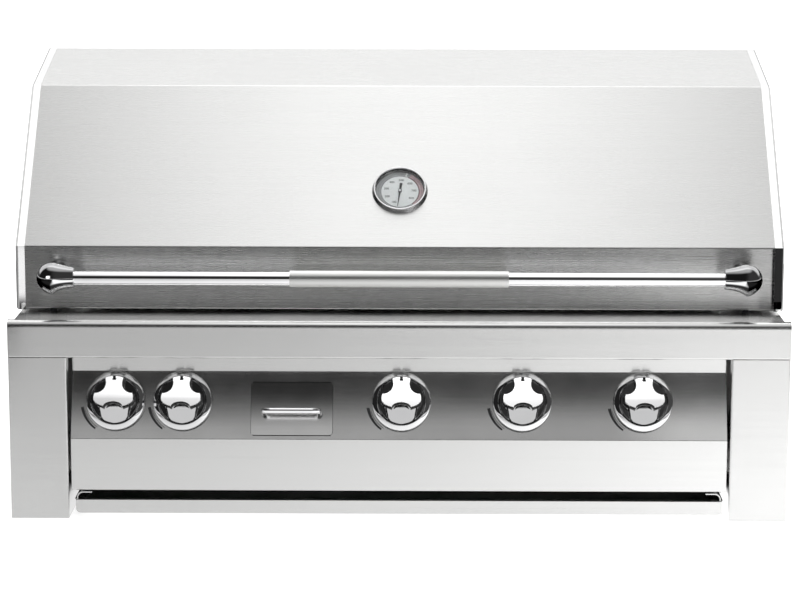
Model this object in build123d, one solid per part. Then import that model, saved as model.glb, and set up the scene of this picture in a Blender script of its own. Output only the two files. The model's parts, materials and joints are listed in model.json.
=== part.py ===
from build123d import *
import math
import os

# Built-in gas grill, in millimetres. While it is modelled, y is 0 on the front plane and grows to
# the rear, z is 0 at the feet, and x is 0 in the middle, positive to the right as seen from the
# front. At the end everything moves back so that the origin is under the middle of the whole.

# Driving sizes
overall_width = 1067.0
front_height = 276.5
rail_height = 51.5
post_width = 80.0
front_depth = 96.0
firebox_inset = 33.5
firebox_depth = 460.0
hood_inset = 2.3
hood_setback = 75.0
hood_front_height = 88.0
hood_slope_length = 282.0
hood_slope_tilt = 43.5
hood_top_depth = 187.0
hood_top_tilt = 12.0

# Sheet, clearances and the overrun that all cuts share
sheet = 1.5
thin_sheet = 1.2
bend = 1.2
seat_gap = 0.3
run_gap = 0.05
overrun = 4.0

# Front rail
rail_edge_radius = 9.5
rail_crest = 12.0
shelf_drop = 1.5
shelf_inset = 7.5
shelf_overlap = 4.0
rail_return = 40.0

# Control panel: upright strip, leaning strip, upright strip and a hem below
panel_gap = 3.5
panel_proud = 5.0
panel_foot = 38.2
panel_lower = 73.0
panel_lean_height = 88.8
panel_lean_depth = 33.0
panel_hem = 20.0

# Knobs, their bezels, stems and gas valves, measured along the stem from the panel's face
knob_centre_x = 3.5
knob_pitch = 165.8
outer_knob_x = -389.3
pair_pitch = 92.2
knob_height_share = 0.551
knob_radius = 32.5
knob_foot = 5.5
knob_skirt = 5.5
knob_top = 37.0
knob_rim_top = 24.0
knob_bore_depth = 14.0
knob_lobe_half = 12.8
knob_scoop_radius = 12.5
knob_scoop_x = 25.3
knob_scoop_y = 23.0
knob_waist = 5.0
knob_ledge = 24.0
knob_chin = 15.0
knob_chin_top = 23.0
knob_nick = 2.4
bezel_radius = 40.7
bezel_bore = 33.3
bezel_height = 12.5
bezel_crown = 2.6
stem_radius = 3.0
stem_depth = 30.0
stem_travel = 4.0
valve_nose_radius = 7.0
valve_nose = 1.0
valve_shoulder = 12.0
valve_radius = 11.0
valve_depth = 40.0
valve_bore_spare = 2.0
nozzle_radius = 4.0
nozzle_seat_radius = 6.5
nozzle_tip_y = 92.0
nozzle_seat_y = 64.0
feed_turn_y = 76.0
feed_bend = 9.0
boss_radius = 8.0

# Gas line
manifold_radius = 13.0
manifold_bore = 10.5
manifold_y = 55.0
manifold_z = 112.0
manifold_left = 420.0
manifold_entry = 12.5
inlet_radius = 10.65
inlet_bore = 7.8
inlet_collar = 17.0
inlet_drop = 24.0
inlet_end = 14.0

# Burners
burner_pitch = 166.5
burner_z = 150.0
burner_radius = 19.0
burner_wall = 1.2
burner_front = 104.0
burner_rear = 518.0
neck_radius = 11.0
neck_front = 86.0
port_radius = 1.6
port_count = 20
port_lean = 40.0
port_margin = 24.0
smoker_burner_z = 105.0
smoker_burner_radius = 12.0
smoker_neck_radius = 9.0
smoker_port_end = 320.0
rest_y = 505.0
rest_foot = 60.0
rest_reach = 15.0
electrode_radius = 3.5
electrode_length = 35.0
electrode_wire = 1.2
electrode_lift = 14.0
electrode_gap = 8.0

# Flame tamers, cooking grates and the ledges that carry them
tamer_z = 188.0
tamer_half = 66.0
tamer_foot = 10.0
tamer_rise = 22.5
tamer_ridge = 8.0
tamer_slots = 7
tamer_slot = (24.0, 6.0)
ledge_inset = 6.0
tamer_ledge = (12.0, 11.0)
grate_ledge = (15.0, 24.0)
grate_z = 250.0
grate_gap = 3.0
grate_side_gap = 21.5
grate_count = 3
grate_rods = 16
grate_rod_radius = 4.5
grate_bar = 9.0
grate_sink = 1.5
grate_end_gap = 3.0

# Firebox
shell_bend = 2.0
base_flange = 25.0
front_wall_foot = 45.0
flange_reach = 26.0
flange_leg = 30.0
flange_rear = 19.0
vent_slot = (50.0, 6.0)
vent_columns = 12
vent_pitch = 72.0
vent_rows = (62.0, 80.0, 98.0)

# Hood, its liner, end caps and hinge
hood_lift = 4.6
hood_sheet = 1.5
hood_bend = 2.0
hood_hem = 14.0
hood_rear_flange = 30.0
hood_rear_droop = 43.0
liner_depth = 14.0
liner_side_gap = 12.0
cap_thickness = 13.0
cap_proud = 0.8
cap_round = 4.0
hinge_setback = 365.0
hinge_height = 115.4
pin_radius = 8.0
pin_head_radius = 12.0
pin_head = 4.0
pin_hole_gap = 0.1
hub_radius = 16.0
bracket_plate = 4.0
bracket_lead = 24.0
bracket_rear_gap = 8.0
bracket_z = (205.0, 422.0)
bracket_corner = 22.0
bumper_inset = 51.2
bumper_y = 79.0
bumper_radius = 5.0
bumper_round = 1.5

# Rear housing, as corners behind the cooking space
housing_front_y = 505.0
housing_lip = (470.0, 560.0)
housing_ridge = (478.0, 578.0)
housing_shoulder_z = 505.0
housing_vent_rows = (400.0, 420.0, 440.0, 460.0)
rear_screw_radius = 4.0
rear_screw_head = 2.2
rear_screw_count = 7
rear_screw_pitch = 150.0
rear_screw_lift = 12.0

# Warming rack
rack_y = (337.0, 472.0)
rack_rods = 10
rack_rod_radius = 2.5
rack_cross_radius = 3.0
rack_cross_count = 5
rack_sink = 1.0
rack_end = 1.5
arm_thickness = 6.5
arm_height = 9.0
arm_top = 351.2
arm_y = (332.0, 478.0)

# Handle
handle_z_lift = 52.8
handle_reach = 57.0
handle_radius = 9.5
handle_bore = 8.0
handle_end_reach = 14.0
sleeve_radius = 11.5
sleeve_bore = 9.6
sleeve_half = 149.0
ball_inset = 55.2
ball_radius = 21.5
collar_reach = 30.0
collar_radius = 13.2
collar_length = 4.0
collar_fit = 0.1
taper_radius = 20.0
stalk_radius = 11.5
handle_screw_radius = 3.0
handle_screw_depth = 16.0
handle_screw_head = (7.0, 3.5)

# Thermometer, measured along its axis from the hood's face
thermometer_up = 96.0
thermometer_radius = 39.0
thermometer_height = 7.0
rim_radius = 36.8
rim_round = 1.0
body_radius = 36.6
well_radius = 35.3
lip_bore = 34.2
case_floor = 1.5
floor_height = -2.8
dial_radius = 35.0
dial_thickness = 0.8
glass_seat = 4.2
glass_thickness = 1.5
glass_radius = 35.0
pointer_low = -0.3
pointer_thickness = 0.8
pointer_hub_radius = 4.0
pointer_hub_height = 2.0
pointer_tip = 24.5
pointer_tail = 13.5
pointer_tip_half = 0.5
pointer_root_half = 1.4
pointer_weight_half = 2.0
pointer_rest = 7.0
arbor_radius = 1.0
probe_radius = 4.0
probe_depth = 70.0
clamp_ring = (41.0, 3.0)
probe_hole = 9.0

# Smoker drawer
smoker_x = -147.0
smoker_height_share = 0.447
plate_width = 112.0
plate_height = 73.0
plate_corner = 5.0
plate_sheet = 1.5
box_half = 46.0
box_margin = 12.0
box_rear = 330.0
panel_cut_gap = 2.0
channel_gap = 0.4
channel_side = 22.0
channel_rear = 332.0
wall_cut_gap = 0.5
pull_half = 37.5
pull_rod = 4.0
pull_drop = 6.6
pull_reach = 30.0
pull_bend = 9.0

# Drip tray
tray_gap = 4.0
tray_flange = 11.0
tray_low = 9.0
tray_high = 25.0
tray_y = (14.0, 520.0)
bar_gap = 9.0
bar_low = 7.5
bar_high = 26.0
bar_front = 2.0
bar_corner = 6.0
ear_top = 37.0
ear_inset = (22.5, 1.5)
ear_bend = 7.0
ear_y = (4.0, 14.0)
runner_reach = 58.5
runner_leg = 22.0
runner_y = (100.0, 545.0)

# Places worked out from the sizes above
half_width = overall_width / 2
firebox_width = overall_width - 2 * firebox_inset
hood_width = overall_width - 2 * hood_inset
post_inner = half_width - post_width
post_height = front_height - rail_height
shelf_z = front_height - shelf_drop
shelf_half = half_width - shelf_inset
wall_inner = firebox_width / 2 - sheet
manifold_right = post_inner + manifold_entry
grate_width = (2 * wall_inner - 2 * grate_side_gap - (grate_count - 1) * grate_gap) / grate_count
tray_half = wall_inner - runner_reach - tray_gap
bar_half = post_inner - bar_gap
ear_inner = bar_half - ear_inset[0]
ear_outer = bar_half - ear_inset[1]
rear_y = front_depth + firebox_depth
wall_top = shelf_z - sheet
panel_half = post_inner - panel_gap
panel_knee = panel_foot + panel_lower
panel_top = panel_knee + panel_lean_height
panel_back = panel_proud + panel_lean_depth
panel_tilt = math.atan2(panel_lean_depth, panel_lean_height)
knob_places = [
    outer_knob_x,
    outer_knob_x + pair_pitch,
    knob_centre_x,
    knob_centre_x + knob_pitch,
    knob_centre_x + 2 * knob_pitch,
]
main_burner_places = [-2 * burner_pitch, 0, burner_pitch, 2 * burner_pitch]
hood_foot = shelf_z + hood_lift
ball_x = hood_width / 2 - ball_inset
handle_end_x = ball_x - handle_end_reach
collar_x = ball_x - collar_reach
bumper_x = hood_width / 2 - bumper_inset
skin_half = hood_width / 2 - cap_thickness
liner_half = skin_half - liner_side_gap
hinge_y = hood_setback + hinge_setback
hinge_z = hood_foot + hinge_height
bracket_y = (hinge_y - bracket_lead, rear_y - bracket_rear_gap)
slope = math.radians(hood_slope_tilt)
roof = math.radians(hood_top_tilt)
droop = math.radians(hood_rear_droop)
hood_points = [(hood_setback, hood_foot), (hood_setback, hood_foot + hood_front_height)]
hood_points.append(
    (
        hood_points[1][0] + hood_slope_length * math.sin(slope),
        hood_points[1][1] + hood_slope_length * math.cos(slope),
    )
)
hood_points.append(
    (
        hood_points[2][0] + hood_top_depth * math.cos(roof),
        hood_points[2][1] + hood_top_depth * math.sin(roof),
    )
)
hood_points.append(
    (
        hood_points[3][0] + hood_rear_flange * math.cos(droop),
        hood_points[3][1] - hood_rear_flange * math.sin(droop),
    )
)


# Shapes that many pieces share


def block(x, y, z):
    """Box between the two values given for each axis."""
    size = (x[1] - x[0], y[1] - y[0], z[1] - z[0])
    middle = ((x[0] + x[1]) / 2, (y[0] + y[1]) / 2, (z[0] + z[1]) / 2)
    return Pos(*middle) * Box(*size)


def rod(start, end, radius):
    """Round bar from one point to another."""
    along = Vector(*end) - Vector(*start)
    return Plane(origin=start, z_dir=along) * Cylinder(
        radius, along.length, align=(Align.CENTER, Align.CENTER, Align.MIN)
    )


def cone(start, end, start_radius, end_radius):
    """Round bar that tapers from one point to another."""
    along = Vector(*end) - Vector(*start)
    return Plane(origin=start, z_dir=along) * Cone(
        start_radius, end_radius, along.length, align=(Align.CENTER, Align.CENTER, Align.MIN)
    )


def tube(start, end, radius, bore):
    """Round bar with a hole right through."""
    return rod(start, end, radius) - rod(start, end, bore)


def beside(points, distance):
    """The same run of points, moved to the right of its direction, with mitred corners."""
    normals = []
    for (x0, y0), (x1, y1) in zip(points, points[1:]):
        length = math.hypot(x1 - x0, y1 - y0)
        normals.append(((y1 - y0) / length, (x0 - x1) / length))
    moved = []
    for index, (x, y) in enumerate(points):
        before = normals[max(index - 1, 0)]
        after = normals[min(index, len(normals) - 1)]
        scale = 1 + before[0] * after[0] + before[1] * after[1]
        moved.append(
            (
                x + distance * (before[0] + after[0]) / scale,
                y + distance * (before[1] + after[1]) / scale,
            )
        )
    return moved


def corner_radii(points, inner, outer):
    """A radius for each corner: inner where the run turns right, outer where it turns left."""
    radii = []
    for before, here, after in zip(points, points[1:], points[2:]):
        turn = (here[0] - before[0]) * (after[1] - here[1])
        turn -= (here[1] - before[1]) * (after[0] - here[0])
        radii.append(outer if turn < 0 else inner)
    return radii


def folded(points, thickness=sheet, radius=bend):
    """Section of a folded sheet: one face follows the points, and it is thick to their right."""
    back = beside(points, thickness)
    face_radii = corner_radii(points, radius, radius + thickness)
    back_radii = corner_radii(points, radius + thickness, radius)
    face_run = FilletPolyline(*points, radius=face_radii)
    back_run = FilletPolyline(*reversed(back), radius=list(reversed(back_radii)))
    joins = [Line(face_run @ 1, back_run @ 0), Line(back_run @ 1, face_run @ 0)]
    return make_face(face_run.edges() + back_run.edges() + joins)


def along_x(face, low, high):
    """Section drawn in y and z, pulled from one x to another."""
    return Plane.YZ.offset(low) * extrude(face, high - low)


def mirrored(shape):
    """The same shape on the other side of the middle."""
    return shape.mirror(Plane.YZ)


def leaning(x, y, z, tilt):
    """Plane on a face that leans back by the tilt, with its own y up the face."""
    return Plane(origin=(x, y, z), x_dir=(1, 0, 0), z_dir=(0, -math.cos(tilt), math.sin(tilt)))


def on_panel(x, share):
    """Plane on the leaning strip of the control panel, at a share of its height."""
    return leaning(
        x, panel_proud + share * panel_lean_depth, panel_knee + share * panel_lean_height, panel_tilt
    )


def bored(radius, low, high):
    """Round bar along a plane's own z, between two heights."""
    return Pos(0, 0, low) * Cylinder(
        radius, high - low, align=(Align.CENTER, Align.CENTER, Align.MIN)
    )


# Front: rail, posts and control panel


def make_front_rail():
    section = [
        (rail_return, post_height),
        (0, post_height),
        (0, front_height),
        (rail_crest - shelf_drop, front_height),
        (rail_crest, shelf_z),
        (front_depth + shelf_overlap, shelf_z),
    ]
    edge = FilletPolyline(
        *section, radius=[bend + sheet, rail_edge_radius, shelf_drop / 2, shelf_drop / 2]
    )
    back = beside(section, sheet)
    inside = FilletPolyline(
        *reversed(back),
        radius=[shelf_drop / 2, shelf_drop / 2, rail_edge_radius - sheet, bend],
    )
    joins = [Line(edge @ 1, inside @ 0), Line(inside @ 1, edge @ 0)]
    profile = make_face(edge.edges() + inside.edges() + joins)
    rail = along_x(profile, -half_width, half_width)
    end_outline = FilletPolyline(
        (0, post_height),
        (0, front_height),
        (rail_crest, front_height),
        (rail_crest, post_height),
        radius=[rail_edge_radius, 0],
    )
    end_face = make_face(end_outline.edges() + [Line(end_outline @ 1, end_outline @ 0)])
    for side in (-1, 1):
        outer, inner = side * half_width, side * shelf_half
        notch_x = sorted((inner, outer + side * overrun))
        rail -= block(
            notch_x,
            (rail_crest, front_depth + shelf_overlap + overrun),
            (post_height + bend + sheet, front_height + overrun),
        )
        plate_x = sorted((outer, outer - side * sheet))
        rail += along_x(end_face, *plate_x)
        cheek_x = sorted((inner, inner - side * sheet))
        rail += block(cheek_x, (rail_crest - sheet, front_depth), (post_height, wall_top))
        rail += block(
            sorted((inner - side * sheet, outer)),
            (rail_crest - sheet, rail_crest),
            (post_height, shelf_z),
        )
    return rail


def make_post():
    """Right post: a folded channel, open at the back, with a flange at its outer side."""
    run = [
        (firebox_width / 2 + sheet, front_depth),
        (half_width, front_depth),
        (half_width, 0),
        (post_inner, 0),
        (post_inner, front_depth),
    ]
    return extrude(folded(run), post_height)


def make_control_panel():
    run = [
        (panel_proud + panel_hem, panel_foot),
        (panel_proud, panel_foot),
        (panel_proud, panel_knee),
        (panel_back, panel_top),
        (panel_back, post_height),
    ]
    panel = along_x(folded(run), -panel_half, panel_half)
    for x in knob_places:
        hole = bored(valve_nose_radius + seat_gap, -overrun, overrun)
        panel -= on_panel(x, knob_height_share) * hole
    low, high = drawer_heights()
    panel -= block(
        (smoker_x - box_half - panel_cut_gap, smoker_x + box_half + panel_cut_gap),
        (-overrun, panel_back + overrun),
        (low - panel_cut_gap, high + panel_cut_gap),
    )
    return panel


# Knobs and what is behind them


def make_bezel(x):
    width = bezel_radius - bezel_bore
    ring = [
        Line((bezel_bore, 0), (bezel_bore, bezel_height - bezel_crown / 2)),
        ThreePointArc(
            (bezel_bore, bezel_height - bezel_crown / 2),
            (bezel_bore + width / 3, bezel_height),
            (bezel_radius, bezel_crown),
        ),
        Line((bezel_radius, bezel_crown), (bezel_radius, 0)),
        Line((bezel_radius, 0), (bezel_bore, 0)),
    ]
    ring_face = Plane.XZ * make_face(ring)
    return on_panel(x, knob_height_share) * revolve(ring_face, Axis.Z)


def make_knob(x):
    """Round skirt, a head like a fish tail whose face slants down to the rim, and a chin below."""
    head_face = Circle(knob_radius) - Pos(0, -knob_radius - knob_waist) * Rectangle(
        2 * knob_radius + overrun, 2 * knob_radius
    )
    for side in (-1, 1):
        head_face -= Pos(side * knob_scoop_x, knob_scoop_y) * Circle(knob_scoop_radius)
        head_face -= Pos(side * knob_radius, knob_radius) * Rectangle(
            2 * (knob_radius - knob_lobe_half), 2 * (knob_radius - knob_scoop_y)
        )
    head = extrude(head_face, knob_top)
    over_face = [
        (-knob_waist, knob_top),
        (knob_radius, knob_rim_top),
        (knob_radius, knob_top),
    ]
    head -= across_knob(over_face)
    chin_depth = math.sqrt(knob_radius**2 - knob_chin**2)
    chin_points = [
        (-knob_chin_top, -knob_waist),
        (-knob_chin, -chin_depth),
        (knob_chin, -chin_depth),
        (knob_chin_top, -knob_waist),
    ]
    chin = extrude(make_face(Polyline(*chin_points, close=True)), knob_ledge)
    over_chin = [
        (-knob_waist, knob_ledge),
        (-knob_radius, knob_foot + knob_skirt),
        (-knob_radius, knob_ledge),
    ]
    chin -= across_knob(over_chin)
    knob = bored(knob_radius, knob_foot, knob_foot + knob_skirt) + head + chin
    knob -= bored(knob_radius + overrun, 0, knob_foot)
    knob -= block(
        (-knob_nick / 2, knob_nick / 2),
        (knob_radius - 2 * knob_nick, knob_radius + overrun),
        (knob_foot + knob_skirt, knob_top),
    )
    knob -= bored(stem_radius + run_gap, 0, knob_foot + knob_bore_depth + run_gap)
    return on_panel(x, knob_height_share) * knob


def across_knob(points):
    """Cutter drawn in the knob's height and depth, right across it."""
    section = Plane.YZ * make_face(Polyline(*points, close=True))
    return Pos(-knob_radius, 0, 0) * extrude(section, 2 * knob_radius)


def make_stem(x):
    return on_panel(x, knob_height_share) * bored(
        stem_radius, -stem_depth, knob_foot + knob_bore_depth
    )


def stem_point(depth):
    """Place on a valve's axis, that deep behind the panel's face, in y and z."""
    plane = on_panel(0, knob_height_share)
    return plane.origin.Y - plane.z_dir.Y * depth, plane.origin.Z - plane.z_dir.Z * depth


def make_valve(x, straight):
    plane = on_panel(x, knob_height_share)
    valve = plane * bored(valve_radius, -valve_depth, -valve_shoulder)
    valve += plane * bored(valve_nose_radius, -valve_shoulder, valve_nose)
    rear = stem_point(valve_depth)
    valve += rod((x, rear[0] - valve_radius, burner_z), (x, nozzle_seat_y, burner_z), nozzle_seat_radius)
    valve += rod((x, manifold_y, manifold_z), (x, manifold_y, rear[1]), boss_radius)
    if straight:
        valve += rod((x, nozzle_seat_y, burner_z), (x, nozzle_tip_y, burner_z), nozzle_radius)
    valve -= plane * bored(
        stem_radius + run_gap, -stem_depth - stem_travel - valve_bore_spare, valve_nose
    )
    pipe = rod(
        (x - bezel_radius, manifold_y, manifold_z),
        (x + bezel_radius, manifold_y, manifold_z),
        manifold_radius + seat_gap,
    )
    return valve - pipe


def make_feed_tube(x, burner_x, height):
    route = FilletPolyline(
        (x, nozzle_seat_y, burner_z),
        (x, feed_turn_y, burner_z),
        (burner_x, feed_turn_y, height),
        (burner_x, nozzle_tip_y, height),
        radius=feed_bend,
    )
    section = Plane(origin=route @ 0, z_dir=route % 0) * Circle(nozzle_radius)
    return sweep(section, path=route)


def make_manifold():
    return tube(
        (-manifold_left, manifold_y, manifold_z),
        (manifold_right, manifold_y, manifold_z),
        manifold_radius,
        manifold_bore,
    )


def make_gas_inlet():
    elbow_x = manifold_right + inlet_collar
    corner = (elbow_x, manifold_y, manifold_z)
    foot = (elbow_x, manifold_y, manifold_z - inlet_drop)
    inlet = rod((manifold_right, manifold_y, manifold_z), corner, inlet_collar)
    inlet += Pos(*corner) * Sphere(inlet_collar)
    inlet += rod(corner, foot, inlet_collar)
    inlet += rod(foot, (elbow_x, manifold_y, inlet_end), inlet_radius)
    inlet -= rod(corner, (elbow_x, manifold_y, inlet_end), inlet_bore)
    return inlet - rod((manifold_right, manifold_y, manifold_z), corner, inlet_bore)


# Burners, sparks, tamers and grates


def burner(x, z, radius, neck, rear, last_port):
    """Tube burner with a neck in front and two rows of ports near its top."""
    front = (x, burner_front, z)
    shape = rod(front, (x, rear, z), radius)
    shape += rod((x, neck_front, z), front, neck)
    shape -= rod((x, burner_front + sheet, z), (x, rear - sheet, z), radius - burner_wall)
    shape -= rod((x, neck_front, z), (x, burner_front + sheet, z), neck - burner_wall)
    first_port = burner_front + port_margin
    step = (last_port - first_port) / (port_count - 1)
    ports = []
    for index in range(port_count):
        for side in (-1, 1):
            lean = side * math.radians(port_lean)
            y = first_port + index * step
            inner, outer = radius / 2, radius + sheet
            ports.append(
                rod(
                    (x + inner * math.sin(lean), y, z + inner * math.cos(lean)),
                    (x + outer * math.sin(lean), y, z + outer * math.cos(lean)),
                    port_radius,
                )
            )
    return shape - ports


def make_burner_rest():
    """Angle between the side walls. The main burners lie on it and the small one butts on it."""
    top = burner_z - burner_radius - seat_gap
    section = folded([(rest_y, rest_foot), (rest_y, top), (rest_y + rest_reach, top)])
    return along_x(section, -wall_inner, wall_inner)


def make_electrode(x, z):
    wall = front_depth + sheet
    tip = wall + electrode_length
    return rod((x, wall, z), (x, tip, z), electrode_radius) + rod(
        (x, tip, z), (x, tip + 2 * electrode_radius, z), electrode_wire
    )


def make_tamer(x):
    top, low = tamer_z + tamer_rise + sheet, tamer_z + sheet
    knee = tamer_half - tamer_foot
    run = [
        (-tamer_half, low),
        (-knee, low),
        (-tamer_ridge, top),
        (tamer_ridge, top),
        (knee, low),
        (tamer_half, low),
    ]
    front = front_depth + sheet + grate_end_gap
    length = firebox_depth - 2 * sheet - 2 * grate_end_gap
    tamer = Plane.XZ.offset(-front) * extrude(folded(run), -length)
    for index in range(tamer_slots):
        y = front + length * (index + 1) / (tamer_slots + 1)
        for side in (-1, 1):
            middle = side * (knee + tamer_ridge) / 2
            tamer -= Pos(middle, y, tamer_z) * Box(tamer_slot[0], tamer_slot[1], 4 * tamer_rise)
    return Pos(x, 0, 0) * tamer


def make_ledges():
    """Four angles across the firebox: two for the tamers and two above them for the grates."""
    half = wall_inner - bracket_plate - seat_gap
    front, rear = front_depth + sheet, rear_y - sheet
    ledges = []
    for top, (reach, drop) in ((tamer_z, tamer_ledge), (grate_z, grate_ledge)):
        for wall, way in ((front, 1), (rear, -1)):
            flat = block((-half, half), sorted((wall, wall + way * reach)), (top - sheet, top))
            leg_y = sorted((wall, wall + way * sheet))
            ledges.append(flat + block((-half, half), leg_y, (top - drop, top)))
    return ledges


def make_grate(index):
    left = -(grate_count * grate_width + (grate_count - 1) * grate_gap) / 2
    left += index * (grate_width + grate_gap)
    front = front_depth + sheet + grate_end_gap
    rear = rear_y - sheet - grate_end_gap
    rod_z = grate_z + grate_bar + grate_rod_radius - grate_sink
    pitch = grate_width / grate_rods
    places = [front + ledge_inset, (front + rear - grate_bar) / 2, rear - ledge_inset - grate_bar]
    bars = [
        block((left, left + grate_width), (y, y + grate_bar), (grate_z, grate_z + grate_bar))
        for y in places
    ]
    rods = [
        rod(
            (left + pitch * (count + 1 / 2), front, rod_z),
            (left + pitch * (count + 1 / 2), rear, rod_z),
            grate_rod_radius,
        )
        for count in range(grate_rods)
    ]
    return bars[0] + bars[1:] + rods


# Firebox


def make_firebox_shell():
    half = firebox_width / 2
    run = [(-half, front_depth), (-half, rear_y), (half, rear_y), (half, front_depth)]
    shell = extrude(folded(run, radius=shell_bend), wall_top)
    for side in (-1, 1):
        flange_x = sorted((side * wall_inner, side * (wall_inner - base_flange)))
        shell += block(flange_x, (front_depth, rear_y - sheet), (0, sheet))
    shell += block(
        (-wall_inner, wall_inner), (rear_y - sheet - base_flange, rear_y - sheet), (0, sheet)
    )
    return shell - vents(vent_rows, rear_y)


def vents(rows, y):
    """Cutters for rows of level slots through the rear sheet."""
    first = -(vent_columns - 1) * vent_pitch / 2
    slots = []
    for z in rows:
        for column in range(vent_columns):
            x = first + column * vent_pitch
            slots.append(Pos(x, y, z) * Box(vent_slot[0], 4 * sheet, vent_slot[1]))
    return slots


def make_front_wall():
    wall = block((-wall_inner, wall_inner), (front_depth, front_depth + sheet), (front_wall_foot, wall_top))
    low, high = drawer_heights()
    near, far = front_depth - overrun, front_depth + overrun
    for x in main_burner_places:
        wall -= rod((x, near, burner_z), (x, far, burner_z), neck_radius + seat_gap)
    wall -= rod(
        (smoker_x, near, smoker_burner_z), (smoker_x, far, smoker_burner_z), smoker_neck_radius + seat_gap
    )
    half = box_half + channel_gap
    return wall - block(
        (smoker_x - half, smoker_x + half), (near, far), (low - wall_cut_gap, high + panel_cut_gap)
    )


def make_counter_flanges():
    """Angles that hang the grill on the counter: one at each side and one at the rear."""
    half = firebox_width / 2
    front = front_depth + shelf_overlap
    side = block((wall_inner, half + flange_reach), (front, rear_y - sheet), (wall_top, shelf_z))
    side += block((half, half + sheet), (front, rear_y - sheet), (shelf_z - flange_leg, shelf_z))
    rear = block(
        (-half - flange_reach, half + flange_reach),
        (rear_y - sheet, rear_y + flange_rear),
        (wall_top, shelf_z),
    )
    rear += block((-half, half), (rear_y, rear_y + sheet), (shelf_z - flange_leg, shelf_z))
    return [side, mirrored(side), rear]


def make_rear_housing():
    run = [
        (housing_front_y, shelf_z),
        (housing_front_y, housing_lip[1] - (housing_front_y - housing_lip[0]) / 2),
        housing_lip,
        housing_ridge,
        (rear_y, housing_shoulder_z),
        (rear_y, shelf_z),
    ]
    half = wall_inner - bracket_plate
    housing = along_x(folded(run), -half, half)
    end_face = make_face(Polyline(*beside(run, sheet / 2), close=True))
    housing += along_x(end_face, -half, sheet - half)
    housing += along_x(end_face, half - sheet, half)
    return housing - vents(housing_vent_rows, rear_y)


def make_rear_screws():
    z = shelf_z + rear_screw_lift
    first = -(rear_screw_count - 1) * rear_screw_pitch / 2
    screws = []
    for index in range(rear_screw_count):
        x = first + index * rear_screw_pitch
        head = rod((x, rear_y, z), (x, rear_y + rear_screw_head, z), rear_screw_radius)
        screws.append(fillet(head.edges().group_by(Axis.Y)[-1], rear_screw_head / 2))
    return screws


# Hood


def hood_outline(points, arc_radius, foot):
    """Side view of the hood: its front and top, then round the hinge and back along the foot."""
    reach_y, reach_z = points[-1][0] - hinge_y, points[-1][1] - hinge_z
    turn = math.atan2(reach_z, reach_y) - math.acos(arc_radius / math.hypot(reach_y, reach_z))
    stops = []
    for angle in (turn, (turn - math.pi / 2) / 2, -math.pi / 2):
        stops.append((hinge_y + arc_radius * math.cos(angle), hinge_z + arc_radius * math.sin(angle)))
    line = Polyline(stops[-1], (points[0][0], foot), *points[1:], stops[0])
    return make_face(line.edges() + [ThreePointArc(*stops)])


def make_hood_skin():
    run = [(hood_setback + hood_hem, hood_foot), *hood_points]
    skin = along_x(folded(run, hood_sheet, hood_bend), -skin_half, skin_half)
    skin -= on_hood() * bored(body_radius + seat_gap, -overrun, overrun)
    for side in (-1, 1):
        start = (side * ball_x, hood_setback - overrun, handle_z())
        end = (side * ball_x, hood_setback + overrun, handle_z())
        skin -= rod(start, end, handle_screw_radius + pin_hole_gap)
    return skin


def liner_points():
    return beside(hood_points[:4], liner_depth)


def make_hood_liner():
    run = liner_points()
    liner = along_x(folded(run, thin_sheet, hood_bend), -liner_half, liner_half)
    foot = hood_foot + hood_sheet
    inner = beside(run, thin_sheet / 2)
    end_face = hood_outline(inner, hinge_height - hood_sheet, foot)
    liner += along_x(end_face, -liner_half, thin_sheet - liner_half)
    liner += along_x(end_face, liner_half - thin_sheet, liner_half)
    liner -= rod((-liner_half, hinge_y, hinge_z), (liner_half, hinge_y, hinge_z), pin_radius + run_gap)
    return liner - on_hood() * bored(probe_hole, -2 * liner_depth, -hood_sheet)


def make_hood_cap():
    """Right end cap: a pan with its rim towards the skin and a hub for the hinge pin."""
    outer = beside(hood_points, -cap_proud)
    cap = along_x(hood_outline(outer, hinge_height + cap_proud, hood_foot - cap_proud), 0, cap_thickness)
    cap = fillet(cap.faces().sort_by(Axis.X)[-1].edges(), cap_round)
    inner = beside(hood_points, sheet - cap_proud)
    pocket_face = hood_outline(
        inner, hinge_height + cap_proud - sheet, hood_foot - cap_proud + sheet
    )
    cap -= along_x(pocket_face, 0, cap_thickness - sheet)
    cap += rod((0, hinge_y, hinge_z), (cap_thickness - sheet / 2, hinge_y, hinge_z), hub_radius)
    cap -= rod((0, hinge_y, hinge_z), (cap_thickness - sheet, hinge_y, hinge_z), pin_radius + run_gap)
    return Pos(skin_half, 0, 0) * cap


def make_hinge_bracket():
    plate = block((wall_inner - bracket_plate, wall_inner), bracket_y, bracket_z)
    plate = fillet(plate.edges().filter_by(Axis.X).group_by(Axis.Z)[-1], bracket_corner)
    return plate - rod(
        (wall_inner - bracket_plate, hinge_y, hinge_z),
        (wall_inner, hinge_y, hinge_z),
        pin_radius + pin_hole_gap,
    )


def make_hinge_pin():
    head_x = wall_inner - bracket_plate
    end_x = skin_half + cap_thickness - 2 * sheet
    pin = rod((head_x, hinge_y, hinge_z), (end_x, hinge_y, hinge_z), pin_radius)
    return pin + rod((head_x - pin_head, hinge_y, hinge_z), (head_x, hinge_y, hinge_z), pin_head_radius)


def make_bumper():
    bumper = rod(
        (bumper_x, bumper_y, shelf_z), (bumper_x, bumper_y, hood_foot - seat_gap), bumper_radius
    )
    return fillet(bumper.edges().group_by(Axis.Z)[-1], bumper_round)


# Handle


def handle_z():
    return hood_foot + handle_z_lift


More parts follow.
